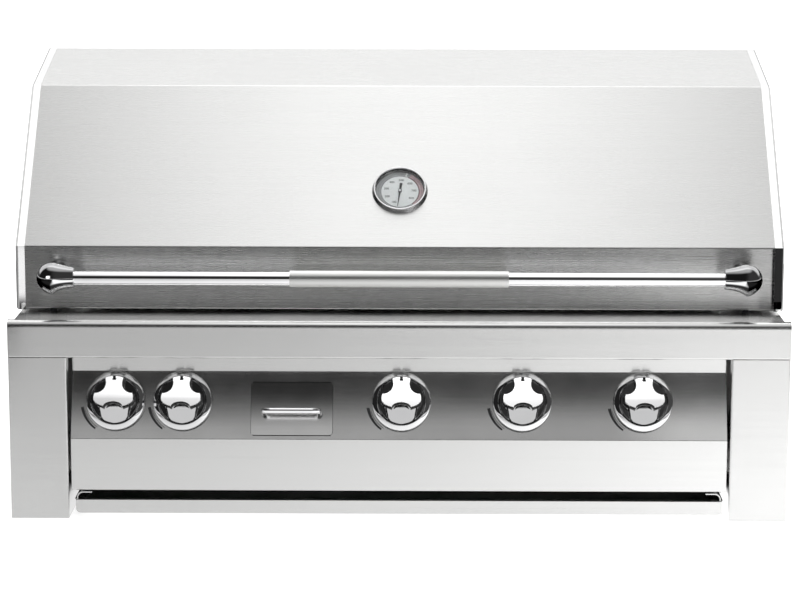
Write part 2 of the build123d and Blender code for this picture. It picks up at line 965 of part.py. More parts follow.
def make_handle_bracket():
    """Right bracket: a stalk out of the hood, a ball, and a taper to the tube's collar."""
    y, z = hood_setback - handle_reach, handle_z()
    ball = (ball_x, y, z)
    collar = (collar_x, y, z)
    bracket = Pos(*ball) * Sphere(ball_radius)
    bracket += cone(ball, collar, taper_radius, collar_radius)
    bracket += rod(collar, (collar_x - collar_length, y, z), collar_radius)
    foot = (ball_x, hood_setback, z)
    bracket += rod(foot, ball, stalk_radius)
    bracket -= rod(
        (collar_x - collar_length, y, z),
        (handle_end_x + collar_fit, y, z),
        handle_radius + collar_fit,
    )
    return bracket - rod(
        foot,
        (ball_x, hood_setback - handle_screw_depth, z),
        handle_screw_radius + collar_fit,
    )


def make_handle_screw():
    z, inside = handle_z(), hood_setback + hood_sheet
    shank_end = (ball_x, hood_setback - handle_screw_depth + collar_fit, z)
    screw = rod(shank_end, (ball_x, inside, z), handle_screw_radius)
    return screw + rod((ball_x, inside, z), (ball_x, inside + handle_screw_head[1], z), handle_screw_head[0])


def across(half, radius, bore):
    """Tube along x through the handle's middle line."""
    y, z = hood_setback - handle_reach, handle_z()
    return tube((-half, y, z), (half, y, z), radius, bore)


# Thermometer


def on_hood():
    foot = hood_points[1]
    y = foot[0] + thermometer_up * math.sin(slope)
    z = foot[1] + thermometer_up * math.cos(slope)
    return leaning(0, y, z, slope)


def make_thermometer_case():
    """Pan sunk through the hood's face, its rim in front, and a ring behind that clamps it."""
    rim = Cone(
        thermometer_radius,
        rim_radius,
        thermometer_height,
        align=(Align.CENTER, Align.CENTER, Align.MIN),
    )
    case = rim + bored(body_radius, floor_height - case_floor, 0)
    case -= bored(well_radius, floor_height, glass_seat + glass_thickness)
    case -= bored(lip_bore, glass_seat, thermometer_height)
    case = fillet(case.edges().group_by(Axis.Z)[-1], rim_round)
    case += bored(arbor_radius, floor_height - case_floor / 2, pointer_low + pointer_thickness)
    case += bored(probe_radius, -probe_depth, floor_height - case_floor / 2)
    ring_face = Circle(clamp_ring[0]) - Circle(body_radius + collar_fit)
    ring = Pos(0, 0, -hood_sheet - clamp_ring[1]) * extrude(ring_face, clamp_ring[1])
    return [on_hood() * case, on_hood() * ring]


def make_thermometer_dial():
    dial = bored(dial_radius, floor_height, floor_height + dial_thickness)
    return on_hood() * (dial - bored(arbor_radius + seat_gap, floor_height, thermometer_height))


def make_thermometer_glass():
    return on_hood() * bored(glass_radius, glass_seat, glass_seat + glass_thickness)


def make_thermometer_pointer():
    outline = [
        (-pointer_tip_half, -pointer_tip),
        (pointer_tip_half, -pointer_tip),
        (pointer_root_half, 0),
        (pointer_weight_half, pointer_tail),
        (-pointer_weight_half, pointer_tail),
        (-pointer_root_half, 0),
    ]
    blade = extrude(make_face(Polyline(*outline, close=True)), pointer_thickness)
    pointer = blade + bored(pointer_hub_radius, 0, pointer_hub_height)
    pointer -= bored(arbor_radius + run_gap, 0, pointer_thickness + run_gap)
    return on_hood() * (Pos(0, 0, pointer_low) * Rot(0, 0, -pointer_rest) * pointer)


# Warming rack


def make_warming_rack():
    z = arm_top + seat_gap + rack_rod_radius
    half = wall_inner - bracket_plate - rack_end
    step = (rack_y[1] - rack_y[0]) / (rack_rods - 1)
    rods = []
    for index in range(rack_rods):
        y = rack_y[0] + index * step
        rods.append(rod((-half, y, z), (half, y, z), rack_rod_radius))
    low = z - rack_rod_radius - rack_cross_radius + rack_sink
    reach = half - 2 * arm_thickness
    crosses = []
    for index in range(rack_cross_count):
        x = -reach + 2 * reach * index / (rack_cross_count - 1)
        start = (x, rack_y[0] - rack_cross_radius, low)
        crosses.append(rod(start, (x, rack_y[1] + rack_cross_radius, low), rack_cross_radius))
    return crosses[0] + crosses[1:] + rods


def make_rack_arm():
    outer = wall_inner - bracket_plate
    arm = block((outer - arm_thickness, outer), arm_y, (arm_top - arm_height, arm_top))
    return fillet(arm.edges().filter_by(Axis.X).group_by(Axis.Y)[0], arm_height / 3)


# Smoker drawer


def drawer_heights():
    """Heights of the drawer's floor and rim, set in from the ends of its front plate."""
    plane = on_panel(smoker_x, smoker_height_share)
    half = plate_height / 2 * math.cos(panel_tilt)
    return plane.origin.Z - half + box_margin, plane.origin.Z + half - box_margin


def panel_face_y(z, proud):
    """Depth of the leaning strip's face at a height, with a distance in front of it."""
    return (
        panel_proud
        + (z - panel_knee) * panel_lean_depth / panel_lean_height
        - proud / math.cos(panel_tilt)
    )


def make_smoker_box():
    low, high = drawer_heights()
    run = [
        (panel_face_y(low, seat_gap), low),
        (panel_face_y(high, seat_gap), high),
        (box_rear, high),
        (box_rear, low),
    ]
    box = along_x(make_face(Polyline(*run, close=True)), smoker_x - box_half, smoker_x + box_half)
    inner_low = low + thin_sheet
    inner = [
        (panel_face_y(inner_low, seat_gap - sheet), inner_low),
        (panel_face_y(high + overrun, seat_gap - sheet), high + overrun),
        (box_rear - thin_sheet, high + overrun),
        (box_rear - thin_sheet, inner_low),
    ]
    half = box_half - thin_sheet
    return box - along_x(make_face(Polyline(*inner, close=True)), smoker_x - half, smoker_x + half)


def on_plate():
    return on_panel(smoker_x, smoker_height_share).offset(seat_gap)


def make_smoker_front():
    face = RectangleRounded(plate_width, plate_height, plate_corner)
    return on_plate() * extrude(face, plate_sheet)


def make_smoker_pull():
    """Round rod bent to a bow: two legs stand out from the plate and a bar joins them."""
    corners = [
        (-pull_half, -pull_drop, 0),
        (-pull_half, -pull_drop, pull_reach),
        (pull_half, -pull_drop, pull_reach),
        (pull_half, -pull_drop, 0),
    ]
    route = FilletPolyline(*corners, radius=pull_bend)
    section = Plane(origin=route @ 0, z_dir=route % 0) * Circle(pull_rod)
    return on_plate().offset(plate_sheet) * sweep(section, path=route)


def make_smoker_channel():
    low = drawer_heights()[0] - seat_gap
    half = box_half + channel_gap
    wall = half + sheet
    length = (front_depth + sheet, channel_rear)
    outside = block((smoker_x - wall, smoker_x + wall), length, (low - sheet, low + channel_side))
    return outside - block(
        (smoker_x - half, smoker_x + half), length, (low, low + channel_side + overrun)
    )


# Drip tray


def make_drip_tray():
    outer = block((-tray_half, tray_half), tray_y, (tray_low, tray_high))
    outer += block(
        (-tray_half - tray_flange, tray_half + tray_flange), tray_y, (tray_high - thin_sheet, tray_high)
    )
    return outer - block(
        (thin_sheet - tray_half, tray_half - thin_sheet),
        (tray_y[0] + thin_sheet, tray_y[1] - thin_sheet),
        (tray_low + thin_sheet, tray_high + overrun),
    )


def make_tray_front():
    """Front bar with round lower corners, and an ear at each end that rises into the gap."""
    bar = block((-bar_half, bar_half), (bar_front, tray_y[0]), (bar_low, bar_high))
    bar = fillet(bar.edges().filter_by(Axis.Y).group_by(Axis.Z)[0], bar_corner)
    bar -= block(
        (sheet - bar_half, bar_half - sheet),
        (bar_front + sheet, tray_y[0] + overrun),
        (bar_low + sheet, bar_high - sheet),
    )
    lift = bar_high - sheet
    ear_run = [(ear_inner, ear_top), (ear_outer, ear_top), (ear_outer, lift)]
    ear = Plane.XZ.offset(-ear_y[0]) * extrude(folded(ear_run, radius=ear_bend), ear_y[0] - ear_y[1])
    return bar + ear + mirrored(ear)


def make_tray_runner():
    top = tray_high - thin_sheet - seat_gap
    shelf = block((wall_inner - runner_reach, wall_inner), runner_y, (top - sheet, top))
    return shelf + block((wall_inner - sheet, wall_inner), runner_y, (top - sheet, top + runner_leg))


# All pieces by name


def one_each(name, places, make):
    """Numbered pieces from left to right."""
    return {f"{name}_{index + 1}": make(x) for index, x in enumerate(places)}


def make_all():
    post = make_post()
    post_hole = rod(
        (post_inner - overrun, manifold_y, manifold_z),
        (post_inner + overrun, manifold_y, manifold_z),
        manifold_radius + seat_gap,
    )
    cap = make_hood_cap()
    handle_bracket = make_handle_bracket()
    last_main_port = burner_rear - port_margin
    main_burner = burner(0, burner_z, burner_radius, neck_radius, burner_rear, last_main_port)
    electrode_x = burner_radius + electrode_gap
    small_electrode_x = smoker_burner_radius + electrode_gap
    pieces = {
        "front_rail": make_front_rail(),
        "post_left": mirrored(post),
        "post_right": post - post_hole,
        "control_panel": make_control_panel(),
        "knob_bezels": [make_bezel(x) for x in knob_places],
        "gas_valves": [make_valve(x, index > 1) for index, x in enumerate(knob_places)],
        "feed_tubes": [
            make_feed_tube(knob_places[0], main_burner_places[0], burner_z),
            make_feed_tube(knob_places[1], smoker_x, smoker_burner_z),
        ],
        "gas_manifold": make_manifold(),
        "gas_inlet": make_gas_inlet(),
        "smoker_burner": burner(
            smoker_x,
            smoker_burner_z,
            smoker_burner_radius,
            smoker_neck_radius,
            rest_y,
            smoker_port_end,
        ),
        "burner_rest": make_burner_rest(),
        "spark_electrodes": [
            make_electrode(x + electrode_x, burner_z + electrode_lift) for x in main_burner_places
        ]
        + [make_electrode(smoker_x + small_electrode_x, smoker_burner_z)],
        "flame_tamers": [
            make_tamer(burner_pitch * (index - 2)) for index in range(len(knob_places))
        ],
        "support_ledges": make_ledges(),
        "firebox_shell": make_firebox_shell(),
        "firebox_front_wall": make_front_wall(),
        "counter_flanges": make_counter_flanges(),
        "rear_housing": make_rear_housing(),
        "rear_screws": make_rear_screws(),
        "hinge_brackets": [make_hinge_bracket(), mirrored(make_hinge_bracket())],
        "hinge_pins": [make_hinge_pin(), mirrored(make_hinge_pin())],
        "hood_bumpers": [make_bumper(), mirrored(make_bumper())],
        "warming_rack": make_warming_rack(),
        "rack_arms": [make_rack_arm(), mirrored(make_rack_arm())],
        "hood_skin": make_hood_skin(),
        "hood_liner": make_hood_liner(),
        "hood_cap_left": mirrored(cap),
        "hood_cap_right": cap,
        "handle_brackets": [handle_bracket, mirrored(handle_bracket)],
        "handle_tube": across(handle_end_x, handle_radius, handle_bore),
        "handle_sleeve": across(sleeve_half, sleeve_radius, sleeve_bore),
        "handle_screws": [make_handle_screw(), mirrored(make_handle_screw())],
        "thermometer_case": make_thermometer_case(),
        "thermometer_dial": make_thermometer_dial(),
        "thermometer_glass": make_thermometer_glass(),
        "thermometer_pointer": make_thermometer_pointer(),
        "smoker_box": make_smoker_box(),
        "smoker_front": make_smoker_front(),
        "smoker_pull": make_smoker_pull(),
        "smoker_channel": make_smoker_channel(),
        "drip_tray": make_drip_tray(),
        "tray_front": make_tray_front(),
        "tray_runners": [make_tray_runner(), mirrored(make_tray_runner())],
    }
    pieces |= one_each("main_burner", main_burner_places, lambda x: Pos(x, 0, 0) * main_burner)
    pieces |= one_each("cooking_grate", range(grate_count), make_grate)
    pieces |= one_each("valve_stem", knob_places, make_stem)
    pieces |= one_each("control_knob", knob_places, make_knob)
    return pieces


def solids_of(piece):
    shapes = piece if isinstance(piece, list) else [piece]
    return [solid for shape in shapes for solid in shape.solids()]


def main():
    os.makedirs("parts", exist_ok=True)
    pieces = {name: solids_of(piece) for name, piece in make_all().items()}
    whole = Compound(children=[Compound(children=group) for group in pieces.values()])
    box = whole.bounding_box()
    origin_y = (box.min.Y + box.max.Y) / 2
    for name, group in pieces.items():
        placed = [solid.moved(Location((0, -origin_y, 0))) for solid in group]
        export_step(Compound(children=placed), os.path.join("parts", name + ".step"))
    print(f"origin is {origin_y:.3f} behind the front plane, feet at {box.min.Z:.3f}")
    print(f"whole {box.size.X:.2f} x {box.size.Y:.2f} x {box.size.Z:.2f}, {len(pieces)} pieces")
    print(f"hood hinge y {hinge_y - origin_y:.3f} z {hinge_z:.3f}")
    for place in (on_panel(0, knob_height_share), on_hood()):
        y, z = place.origin.Y - origin_y, place.origin.Z
        print(f"face at y {y:.4f} z {z:.4f}, normal {place.z_dir.Y:.6f} {place.z_dir.Z:.6f}")
    print("knobs at x", knob_places)


if __name__ == "__main__":
    main()
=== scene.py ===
"""Looks of a built-in gas grill: finishes, small formed pieces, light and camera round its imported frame."""
import json
import math

import bpy
import numpy as np
from mathutils import Matrix, Vector


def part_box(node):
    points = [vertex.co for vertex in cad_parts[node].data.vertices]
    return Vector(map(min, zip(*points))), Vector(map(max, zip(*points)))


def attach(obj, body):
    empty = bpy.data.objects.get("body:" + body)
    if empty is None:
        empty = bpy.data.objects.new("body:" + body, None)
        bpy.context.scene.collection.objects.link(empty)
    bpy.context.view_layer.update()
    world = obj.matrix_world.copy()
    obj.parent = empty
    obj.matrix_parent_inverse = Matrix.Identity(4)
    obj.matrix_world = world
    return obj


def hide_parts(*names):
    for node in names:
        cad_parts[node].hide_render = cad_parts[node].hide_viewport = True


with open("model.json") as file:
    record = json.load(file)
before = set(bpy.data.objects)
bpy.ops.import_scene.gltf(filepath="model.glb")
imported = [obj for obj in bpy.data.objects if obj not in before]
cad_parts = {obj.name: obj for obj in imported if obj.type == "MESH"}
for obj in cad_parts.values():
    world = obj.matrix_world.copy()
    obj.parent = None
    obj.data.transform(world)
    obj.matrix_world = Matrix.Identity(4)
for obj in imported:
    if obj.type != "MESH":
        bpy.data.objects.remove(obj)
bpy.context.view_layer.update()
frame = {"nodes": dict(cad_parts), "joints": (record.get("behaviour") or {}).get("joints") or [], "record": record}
NODES = frame["nodes"]
JOINTS = {joint["name"]: joint for joint in frame["joints"]}
NODE_SLOT = {part["node"]: part["material_slot"] for part in frame["record"]["subparts"]}
MM = 0.001
KNOBS = range(1, 6)
FRONT_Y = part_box("front_rail")[0].y
SHELF_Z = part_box("front_rail")[1].z
HOOD_FRONT_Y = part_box("hood_skin")[0].y
scene = bpy.context.scene


class Graph:
    """Short calls that build the node tree of a material or of the world."""

    def __init__(self, owner):
        owner.use_nodes = True
        self.owner = owner
        self.tree = owner.node_tree
        self.tree.nodes.clear()

    def add(self, kind, inputs=None, **settings):
        """Node of a kind, with values or links for its inputs."""
        node = self.tree.nodes.new("ShaderNode" + kind)
        for name, value in settings.items():
            setattr(node, name, value)
        for key, value in (inputs or {}).items():
            self.put(node.inputs[key], value)
        return node

    def put(self, socket, value):
        """Link to an input, or its value."""
        if isinstance(value, bpy.types.NodeSocket):
            self.tree.links.new(value, socket)
        elif isinstance(value, tuple) and len(value) == 3 and socket.type == "RGBA":
            socket.default_value = (*value, 1.0)
        else:
            socket.default_value = value

    def close(self, result, kind="OutputMaterial"):
        """Send a shader to the output; returns the material or world."""
        self.tree.links.new(result, self.add(kind).inputs["Surface"])
        return self.owner

    def place(self):
        """Place on the piece at rest, in metres."""
        return self.add("TexCoord").outputs["Object"]

    def facing(self):
        """Surface normal at rest."""
        world = self.add("NewGeometry").outputs["Normal"]
        return self.add(
            "VectorTransform", {0: world}, vector_type="NORMAL", convert_from="WORLD", convert_to="OBJECT"
        ).outputs[0]

    def split(self, vector):
        return self.add("SeparateXYZ", {0: vector}).outputs

    def join(self, x, y, z):
        return self.add("CombineXYZ", {0: x, 1: y, 2: z}).outputs[0]

    def calc(self, operation, first, second=0.0, third=0.0):
        return self.add("Math", {0: first, 1: second, 2: third}, operation=operation).outputs[0]

    def plus(self, first, second):
        return self.calc("ADD", first, second)

    def minus(self, first, second):
        return self.calc("SUBTRACT", first, second)

    def times(self, first, second):
        return self.calc("MULTIPLY", first, second)

    def scaled(self, vector, x, y, z):
        return self.add("VectorMath", {0: vector, 1: (x, y, z)}, operation="MULTIPLY").outputs[0]

    def noise(self, vector, scale=1.0, detail=2.0, roughness=0.5):
        return self.add(
            "TexNoise", {"Vector": vector, "Scale": scale, "Detail": detail, "Roughness": roughness}
        ).outputs["Fac"]

    def spread(self, value, low, high, to_low=0.0, to_high=1.0, kind="LINEAR"):
        """Value between two bounds, spread over another range and held at its ends."""
        return self.add(
            "MapRange", {0: value, 1: low, 2: high, 3: to_low, 4: to_high}, interpolation_type=kind
        ).outputs[0]

    def ease(self, value, low, high, to_low=0.0, to_high=1.0):
        """As spread, with soft ends."""
        return self.spread(value, low, high, to_low, to_high, "SMOOTHSTEP")

    def sway(self, value, amount):
        """Noise as a change of up to an amount either way."""
        return self.spread(value, 0.3, 0.7, -amount, amount)

    def blend(self, share, first, second):
        """Colour between two colours."""
        return self.add("Mix", {0: share, 6: first, 7: second}, data_type="RGBA").outputs[2]

    def pick(self, share, first, second):
        """Vector between two vectors."""
        return self.add("Mix", {0: share, 4: first, 5: second}, data_type="VECTOR").outputs[1]

    def toned(self, colour, value):
        """Colour made lighter or darker."""
        return self.add("HueSaturation", {"Color": colour, "Value": value}).outputs[0]

    def bump(self, height, strength, distance):
        return self.add("Bump", {"Height": height, "Strength": strength, "Distance": distance}).outputs["Normal"]


def surface(name, **inputs):
    """New material with one principled shader; returns its graph and the shader's inputs."""
    graph = Graph(bpy.data.materials.new(name))
    shader = graph.add("BsdfPrincipled", {key.replace("_", " "): v for key, v in inputs.items()})
    graph.close(shader.outputs[0])
    return graph, shader.inputs


SIDE_FACE = 0.6  # normals further across than this belong to side faces


def grain_place(graph, along, across):
    """Place stretched along the grain: level on front, top and rear faces, front to back on side faces."""
    place = graph.place()
    side = graph.calc("ABSOLUTE", graph.split(graph.facing())[0])
    level = graph.scaled(place, along, across, across)
    deep = graph.scaled(place, across, along, across)
    return graph.pick(graph.calc("GREATER_THAN", side, SIDE_FACE), level, deep)


def upright_tangent(graph):
    """Direction across the grain, in which the grain spreads a reflection."""
    x, y, z = graph.split(graph.facing())
    across = graph.join(0.0, graph.times(z, -1.0), graph.plus(y, 0.01))
    return graph.add(
        "VectorTransform", {0: across}, vector_type="VECTOR", convert_from="OBJECT", convert_to="WORLD"
    ).outputs[0]


def brushed(name, colour, roughness, anisotropic, streaks=0.012, smudges=0.02, relief=0.012):
    """Sheet with a fine level grain, faint streaks and cloudy wiping marks."""
    graph, shader = surface(name, Metallic=1.0, Anisotropic=anisotropic)
    fine = graph.noise(grain_place(graph, 8.0, 2400.0), 1.0, 3.0, 0.6)
    broad = graph.noise(grain_place(graph, 1.5, 160.0), 1.0, 4.0, 0.6)
    cloud = graph.noise(graph.place(), 9.0, 4.0, 0.6)
    shade = graph.plus(graph.sway(fine, streaks), graph.sway(broad, streaks))
    shade = graph.plus(shade, graph.sway(cloud, 0.4 * smudges))
    graph.put(shader["Base Color"], graph.toned(colour, graph.plus(shade, 1.0)))
    rough = graph.plus(graph.spread(fine, 0.25, 0.75, -0.02, 0.02), graph.sway(cloud, smudges))
    graph.put(shader["Roughness"], graph.plus(rough, roughness))
    graph.put(shader["Tangent"], upright_tangent(graph))
    graph.put(shader["Normal"], graph.bump(fine, relief, 0.0002))
    return graph.owner


def bright(name, colour, roughness, lighter=None):
    """Polished plate: even colour, with a lighter colour painted in where a mesh layer says so as a painted reflection,
    and faint wiping marks in its gloss.
    """
    graph, shader = surface(name, Metallic=1.0)
    place = graph.place()
    cloud = graph.noise(place, 22.0, 5.0, 0.6)
    wiped = graph.noise(graph.scaled(place, 60.0, 300.0, 60.0), 1.0, 3.0, 0.6)
    # The lighter colour is a painted reflection, not a finish of its own.
    if lighter:
        painted_reflection_colour, layer = lighter
        where = graph.add("Attribute", attribute_name=layer).outputs["Fac"]
        colour = graph.blend(where, colour, painted_reflection_colour)
    graph.put(shader["Base Color"], graph.toned(colour, graph.spread(cloud, 0.3, 0.7, 0.97, 1.02)))
    marks = graph.times(graph.ease(cloud, 0.45, 0.75), graph.spread(wiped, 0.3, 0.7))
    graph.put(shader["Roughness"], graph.calc("MULTIPLY_ADD", marks, 0.03, roughness))
    return graph.owner


def worked(name, colour, roughness, tint=None, tint_share=0.0):
    """Mill-finish or machined metal: cloudy, with fine scratches both ways and an optional heat tint."""
    graph, shader = surface(name, Metallic=1.0)
    place = graph.place()
    cloud = graph.noise(place, 14.0, 5.0, 0.6)
    fine = graph.noise(place, 900.0, 2.0, 0.5)
    scratched = graph.noise(grain_place(graph, 12.0, 700.0), 1.0, 3.0, 0.6)
    shade = graph.plus(graph.spread(cloud, 0.3, 0.7, 0.9, 1.06), graph.sway(scratched, 0.05))
    base = graph.toned(colour, shade)
    if tint:
        heat = graph.ease(graph.noise(place, 5.0, 3.0, 0.55), 0.4, 0.65, 0.0, tint_share)
        base = graph.blend(heat, base, tint)
    graph.put(shader["Base Color"], base)
    rough = graph.plus(graph.spread(cloud, 0.3, 0.7, -0.06, 0.08), graph.sway(fine, 0.04))
    graph.put(shader["Roughness"], graph.plus(rough, roughness))
    graph.put(shader["Normal"], graph.bump(graph.plus(fine, scratched), 0.06, 0.0003))
    return graph.owner


def coated(name, colour, roughness, relief=0.1, grit=1500.0, variation=0.06, gloss=0.5):
    """Paint, rubber, glaze: no metal, with a fine grit and small changes of tone."""
    graph, shader = surface(name)
    shader["Specular IOR Level"].default_value = gloss
    place = graph.place()
    cloud = graph.noise(place, 30.0, 4.0, 0.6)
    fine = graph.noise(place, grit, 2.0, 0.5)
    shade = graph.spread(cloud, 0.3, 0.7, 1.0 - variation, 1.0 + variation)
    graph.put(shader["Base Color"], graph.toned(colour, shade))
    graph.put(shader["Roughness"], graph.plus(graph.sway(cloud, 0.05), roughness))
    graph.put(shader["Normal"], graph.bump(fine, relief, 0.0002))
    return graph.owner


def ink(name, colour, gloss=0.5):
    """Matt flat colour with hardly any grit, for print and for the dial's painted shadow."""
    return coated(name, colour, 0.5, 0.02, 900.0, 0.03, gloss)


def clear_glass(name):
    """Thin flat window: clear from the front, with a faint gloss."""
    graph = Graph(bpy.data.materials.new(name))
    dust = graph.ease(graph.noise(graph.place(), 60.0, 4.0, 0.6), 0.45, 0.8, 0.0, 0.04)
    clear = graph.add("BsdfTransparent", {0: (0.97, 0.98, 0.98)})
    gloss = graph.add("BsdfGlossy", {0: (1.0, 1.0, 1.0), "Roughness": graph.plus(dust, 0.02)})
    edge = graph.times(graph.add("Fresnel", {"IOR": 1.45}).outputs[0], 0.4)
    mix = graph.add("MixShader", {0: graph.plus(edge, dust), 1: clear.outputs[0], 2: gloss.outputs[0]})
    return graph.close(mix.outputs[0])


STEEL = (0.64, 0.64, 0.635)
MATERIALS = {
    "brushed_steel": brushed("brushed_steel", STEEL, 0.2, 0.85),
    "satin_steel": brushed("satin_steel", (0.66, 0.66, 0.65), 0.38, 0.3, 0.03, 0.04),
    "polished_steel": bright("polished_steel", (0.78, 0.78, 0.78), 0.05),
    "chrome": bright("chrome", (0.86, 0.86, 0.87), 0.03),
    "plain_steel": worked("plain_steel", (0.52, 0.52, 0.51), 0.34),
    "burner_steel": worked("burner_steel", (0.5, 0.48, 0.45), 0.36, (0.30, 0.22, 0.16), 0.7),
    "grate_steel": worked("grate_steel", (0.55, 0.54, 0.52), 0.32, (0.38, 0.30, 0.22), 0.45),
    "gas_pipe": coated("gas_pipe", (0.03, 0.03, 0.032), 0.42),
    "valve_brass": worked("valve_brass", (0.72, 0.52, 0.24), 0.28, (0.42, 0.26, 0.10), 0.35),
    "fitting_brass": worked("fitting_brass", (0.74, 0.55, 0.27), 0.24, (0.45, 0.30, 0.14), 0.3),
    "tube_aluminium": worked("tube_aluminium", (0.72, 0.72, 0.73), 0.34),
    "white_ceramic": coated("white_ceramic", (0.82, 0.81, 0.77), 0.18, 0.03, 500.0, 0.03),
    "black_rubber": coated("black_rubber", (0.018, 0.018, 0.019), 0.62, 0.25),
    "dial_face": coated("dial_face", (0.95, 0.955, 0.955), 0.5, 0.03, 900.0, 0.02),
    "pointer_black": coated("pointer_black", (0.008, 0.008, 0.008), 0.5, gloss=0.12),
    "dial_glass": clear_glass("dial_glass"),
    "screw_steel": worked("screw_steel", (0.62, 0.62, 0.62), 0.24),
}
OWN_FINISH = {
    "control_panel": brushed("panel_steel", STEEL, 0.145, 0.85),
    "hood_skin": brushed("hood_steel", STEEL, 0.27, 0.82, 0.008, 0.012, 0.005),
    "smoker_front": brushed("plate_steel", STEEL, 0.1, 0.8),
    "thermometer_case": bright("case_chrome", (0.62, 0.62, 0.625), 0.04),
}
# Knob chrome: darker than plain chrome as painted shade on chin and skirt, with the head painted near white as a
# painted reflection.
KNOB_CHROME = bright("knob_chrome", (0.57, 0.57, 0.575), 0.05, lighter=((0.97, 0.97, 0.975), "head"))
CAST_CHROME = bright("cast_chrome", (0.45, 0.45, 0.455), 0.05)
BEZEL_CHROME = bright("bezel_chrome", (0.74, 0.74, 0.745), 0.04)

for name, node in NODES.items():
    for place in node.material_slots:
        place.material = OWN_FINISH.get(name, MATERIALS[NODE_SLOT[name]])


# Helpers for meshes, in millimetres across, up and out of the face that a piece stands on


def formed(name, points, faces, slot, body, *, sharp, material=None, replaces=()):
    """Mesh piece with smooth shading, riding on a body and taking the finish of a slot."""
    mesh = bpy.data.meshes.new(name)
    mesh.from_pydata([tuple(p) for p in points], [], faces)
    mesh.update()
    mesh.validate()
    mesh.shade_smooth()
    mesh.set_sharp_from_angle(angle=math.radians(sharp))
    mesh.materials.append(material or MATERIALS[slot])
    piece = bpy.data.objects.new(name, mesh)
    scene.collection.objects.link(piece)
    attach(piece, body)
    if replaces:
        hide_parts(*replaces)
    return piece


def joint_frame(name):
    """Place of a joint, and the directions across, up and out to the front there."""
    out = np.array(JOINTS[name]["axis"], float)
    out /= np.linalg.norm(out)
    out = out if out[1] < 0.0 else -out
    across = np.array((1.0, 0.0, 0.0))
    return np.array(JOINTS[name]["pos_m"], float), across, np.cross(out, across), out


def carried(points, centre, across, up, out):
    """Points in millimetres from a centre, moved to their place."""
    points = np.asarray(points, float) * MM
    return centre + points[:, :1] * across + points[:, 1:2] * up + points[:, 2:3] * out


def gathered(parts):
    """Points and faces of several parts as one."""
    points, faces, shift = [], [], 0
    for some, theirs in parts:
        points.append(np.asarray(some, float))
        faces += [tuple(i + shift for i in face) for face in theirs]
        shift += len(some)
    return np.concatenate(points), faces


def circle(steps):
    """Angles of places spaced evenly round a circle."""
    return np.arange(steps) * 2.0 * np.pi / steps


def rings(profile, angle):
    """One ring of points for each pair of a radius and a height."""
    return [np.stack([r * np.cos(angle), r * np.sin(angle), np.full_like(angle, h)], axis=1) for r, h in profile]


def band(low, high, count):
    """Faces between two rings of points, which start at the numbers low and high."""
    return [(low + j, low + (j + 1) % count, high + (j + 1) % count, high + j) for j in range(count)]


def fan(tip, start, count):
    """Faces between one point and a ring."""
    return [(tip, start + (j + 1) % count, start + j) for j in range(count)]


def flipped(faces):
    """The same faces, looking the other way."""
    return [(face[0], *face[:0:-1]) for face in faces]


def capped(first, rows, last):
    """Closed skin over rings of points, with one point at each end."""
    count = len(rows[0])
    points = np.concatenate([[first], *rows, [last]])
    faces = fan(0, 1, count)
    for i in range(len(rows) - 1):
        faces += band(1 + i * count, 1 + (i + 1) * count, count)
    return points, faces + flipped(fan(len(points) - 1, len(points) - 1 - count, count))


def looped(rows):
    """Closed skin over rings of points, the last of which meets the first."""
    count = len(rows[0])
    faces = []
    for i in range(len(rows)):
        faces += flipped(band((i + 1) % len(rows) * count, i * count, count))
    return np.concatenate(rows), faces


def plate_between(outline, low, high):
    """Plate with a given outline."""
    outline = np.asarray(outline, float)
    count = len(outline)
    points = np.concatenate([np.column_stack([outline, np.full(count, h)]) for h in (low, high)])
    return points, [tuple(reversed(range(count))), tuple(range(count, 2 * count))] + band(0, count, count)


PRINT_THICKNESS = 0.04


def ring_part(inner, outer, start, end, level, steps):
    """Flat part of a ring between two angles, counted in degrees from the right, with some thickness."""
    angle = np.radians(np.linspace(start, end, steps + 1))
    edges = [(radius, top) for top in (level, level - PRINT_THICKNESS) for radius in (inner, outer)]
    count = steps + 1
    faces = []
    for i in range(steps):
        a, b, c, d = i, count + i, 2 * count + i, 3 * count + i
        faces += [(a, b, b + 1, a + 1), (c, c + 1, d + 1, d), (b, d, d + 1, b + 1), (a, a + 1, c + 1, c)]
    faces.append((0, 2 * count, 3 * count, count))
    faces.append((steps, count + steps, 3 * count + steps, 2 * count + steps))
    return np.concatenate(rings(edges, angle)), faces


# Knobs, with a fish-tail head over a domed chin

KNOB_RADIUS = 32.5
KNOB_FOOT = 5.5
KNOB_BACK_HOLE = 20.0
KNOB_SKIRT = 11.0
KNOB_RINGS = 92
KNOB_SEGMENTS = 288
SKIRT_TURN = 31.2
SKIRT_ONLY = 17.0
CHIN_LEVEL, CHIN_SLOPE = 22.4, 0.54
CHIN_DOME_RADIUS, CHIN_DOME_DOWN, CHIN_DOME_SUNK = 22.0, 17.0, 18.5
HEAD_LEVEL = 37.0
HEAD_STEP = 0.1
SCOOP_SIDE, SCOOP_UP, SCOOP_RADIUS = 25.0, 20.6, 13.2
NICK_UP, NICK_HALF = 25.6, 1.3
NO_EDGE = 99.0


def soft_step(distance, width):
    """From 0 outside to 1 inside, over a wall of some width."""
    share = np.clip(0.5 + distance / width, 0.0, 1.0)
    return share * share * (3.0 - 2.0 * share)


def head_wave(side):
    """Lower edge of a knob's head at a distance beside its middle."""
    wave = -13.2 + 7.0 * np.sqrt(np.clip(1.0 - (side / 12.8) ** 2, 0.0, 1.0))
    return wave + np.interp(side, (12.8, 21.0, 25.0, 29.0), (0.0, 3.2, 6.4, 12.0))


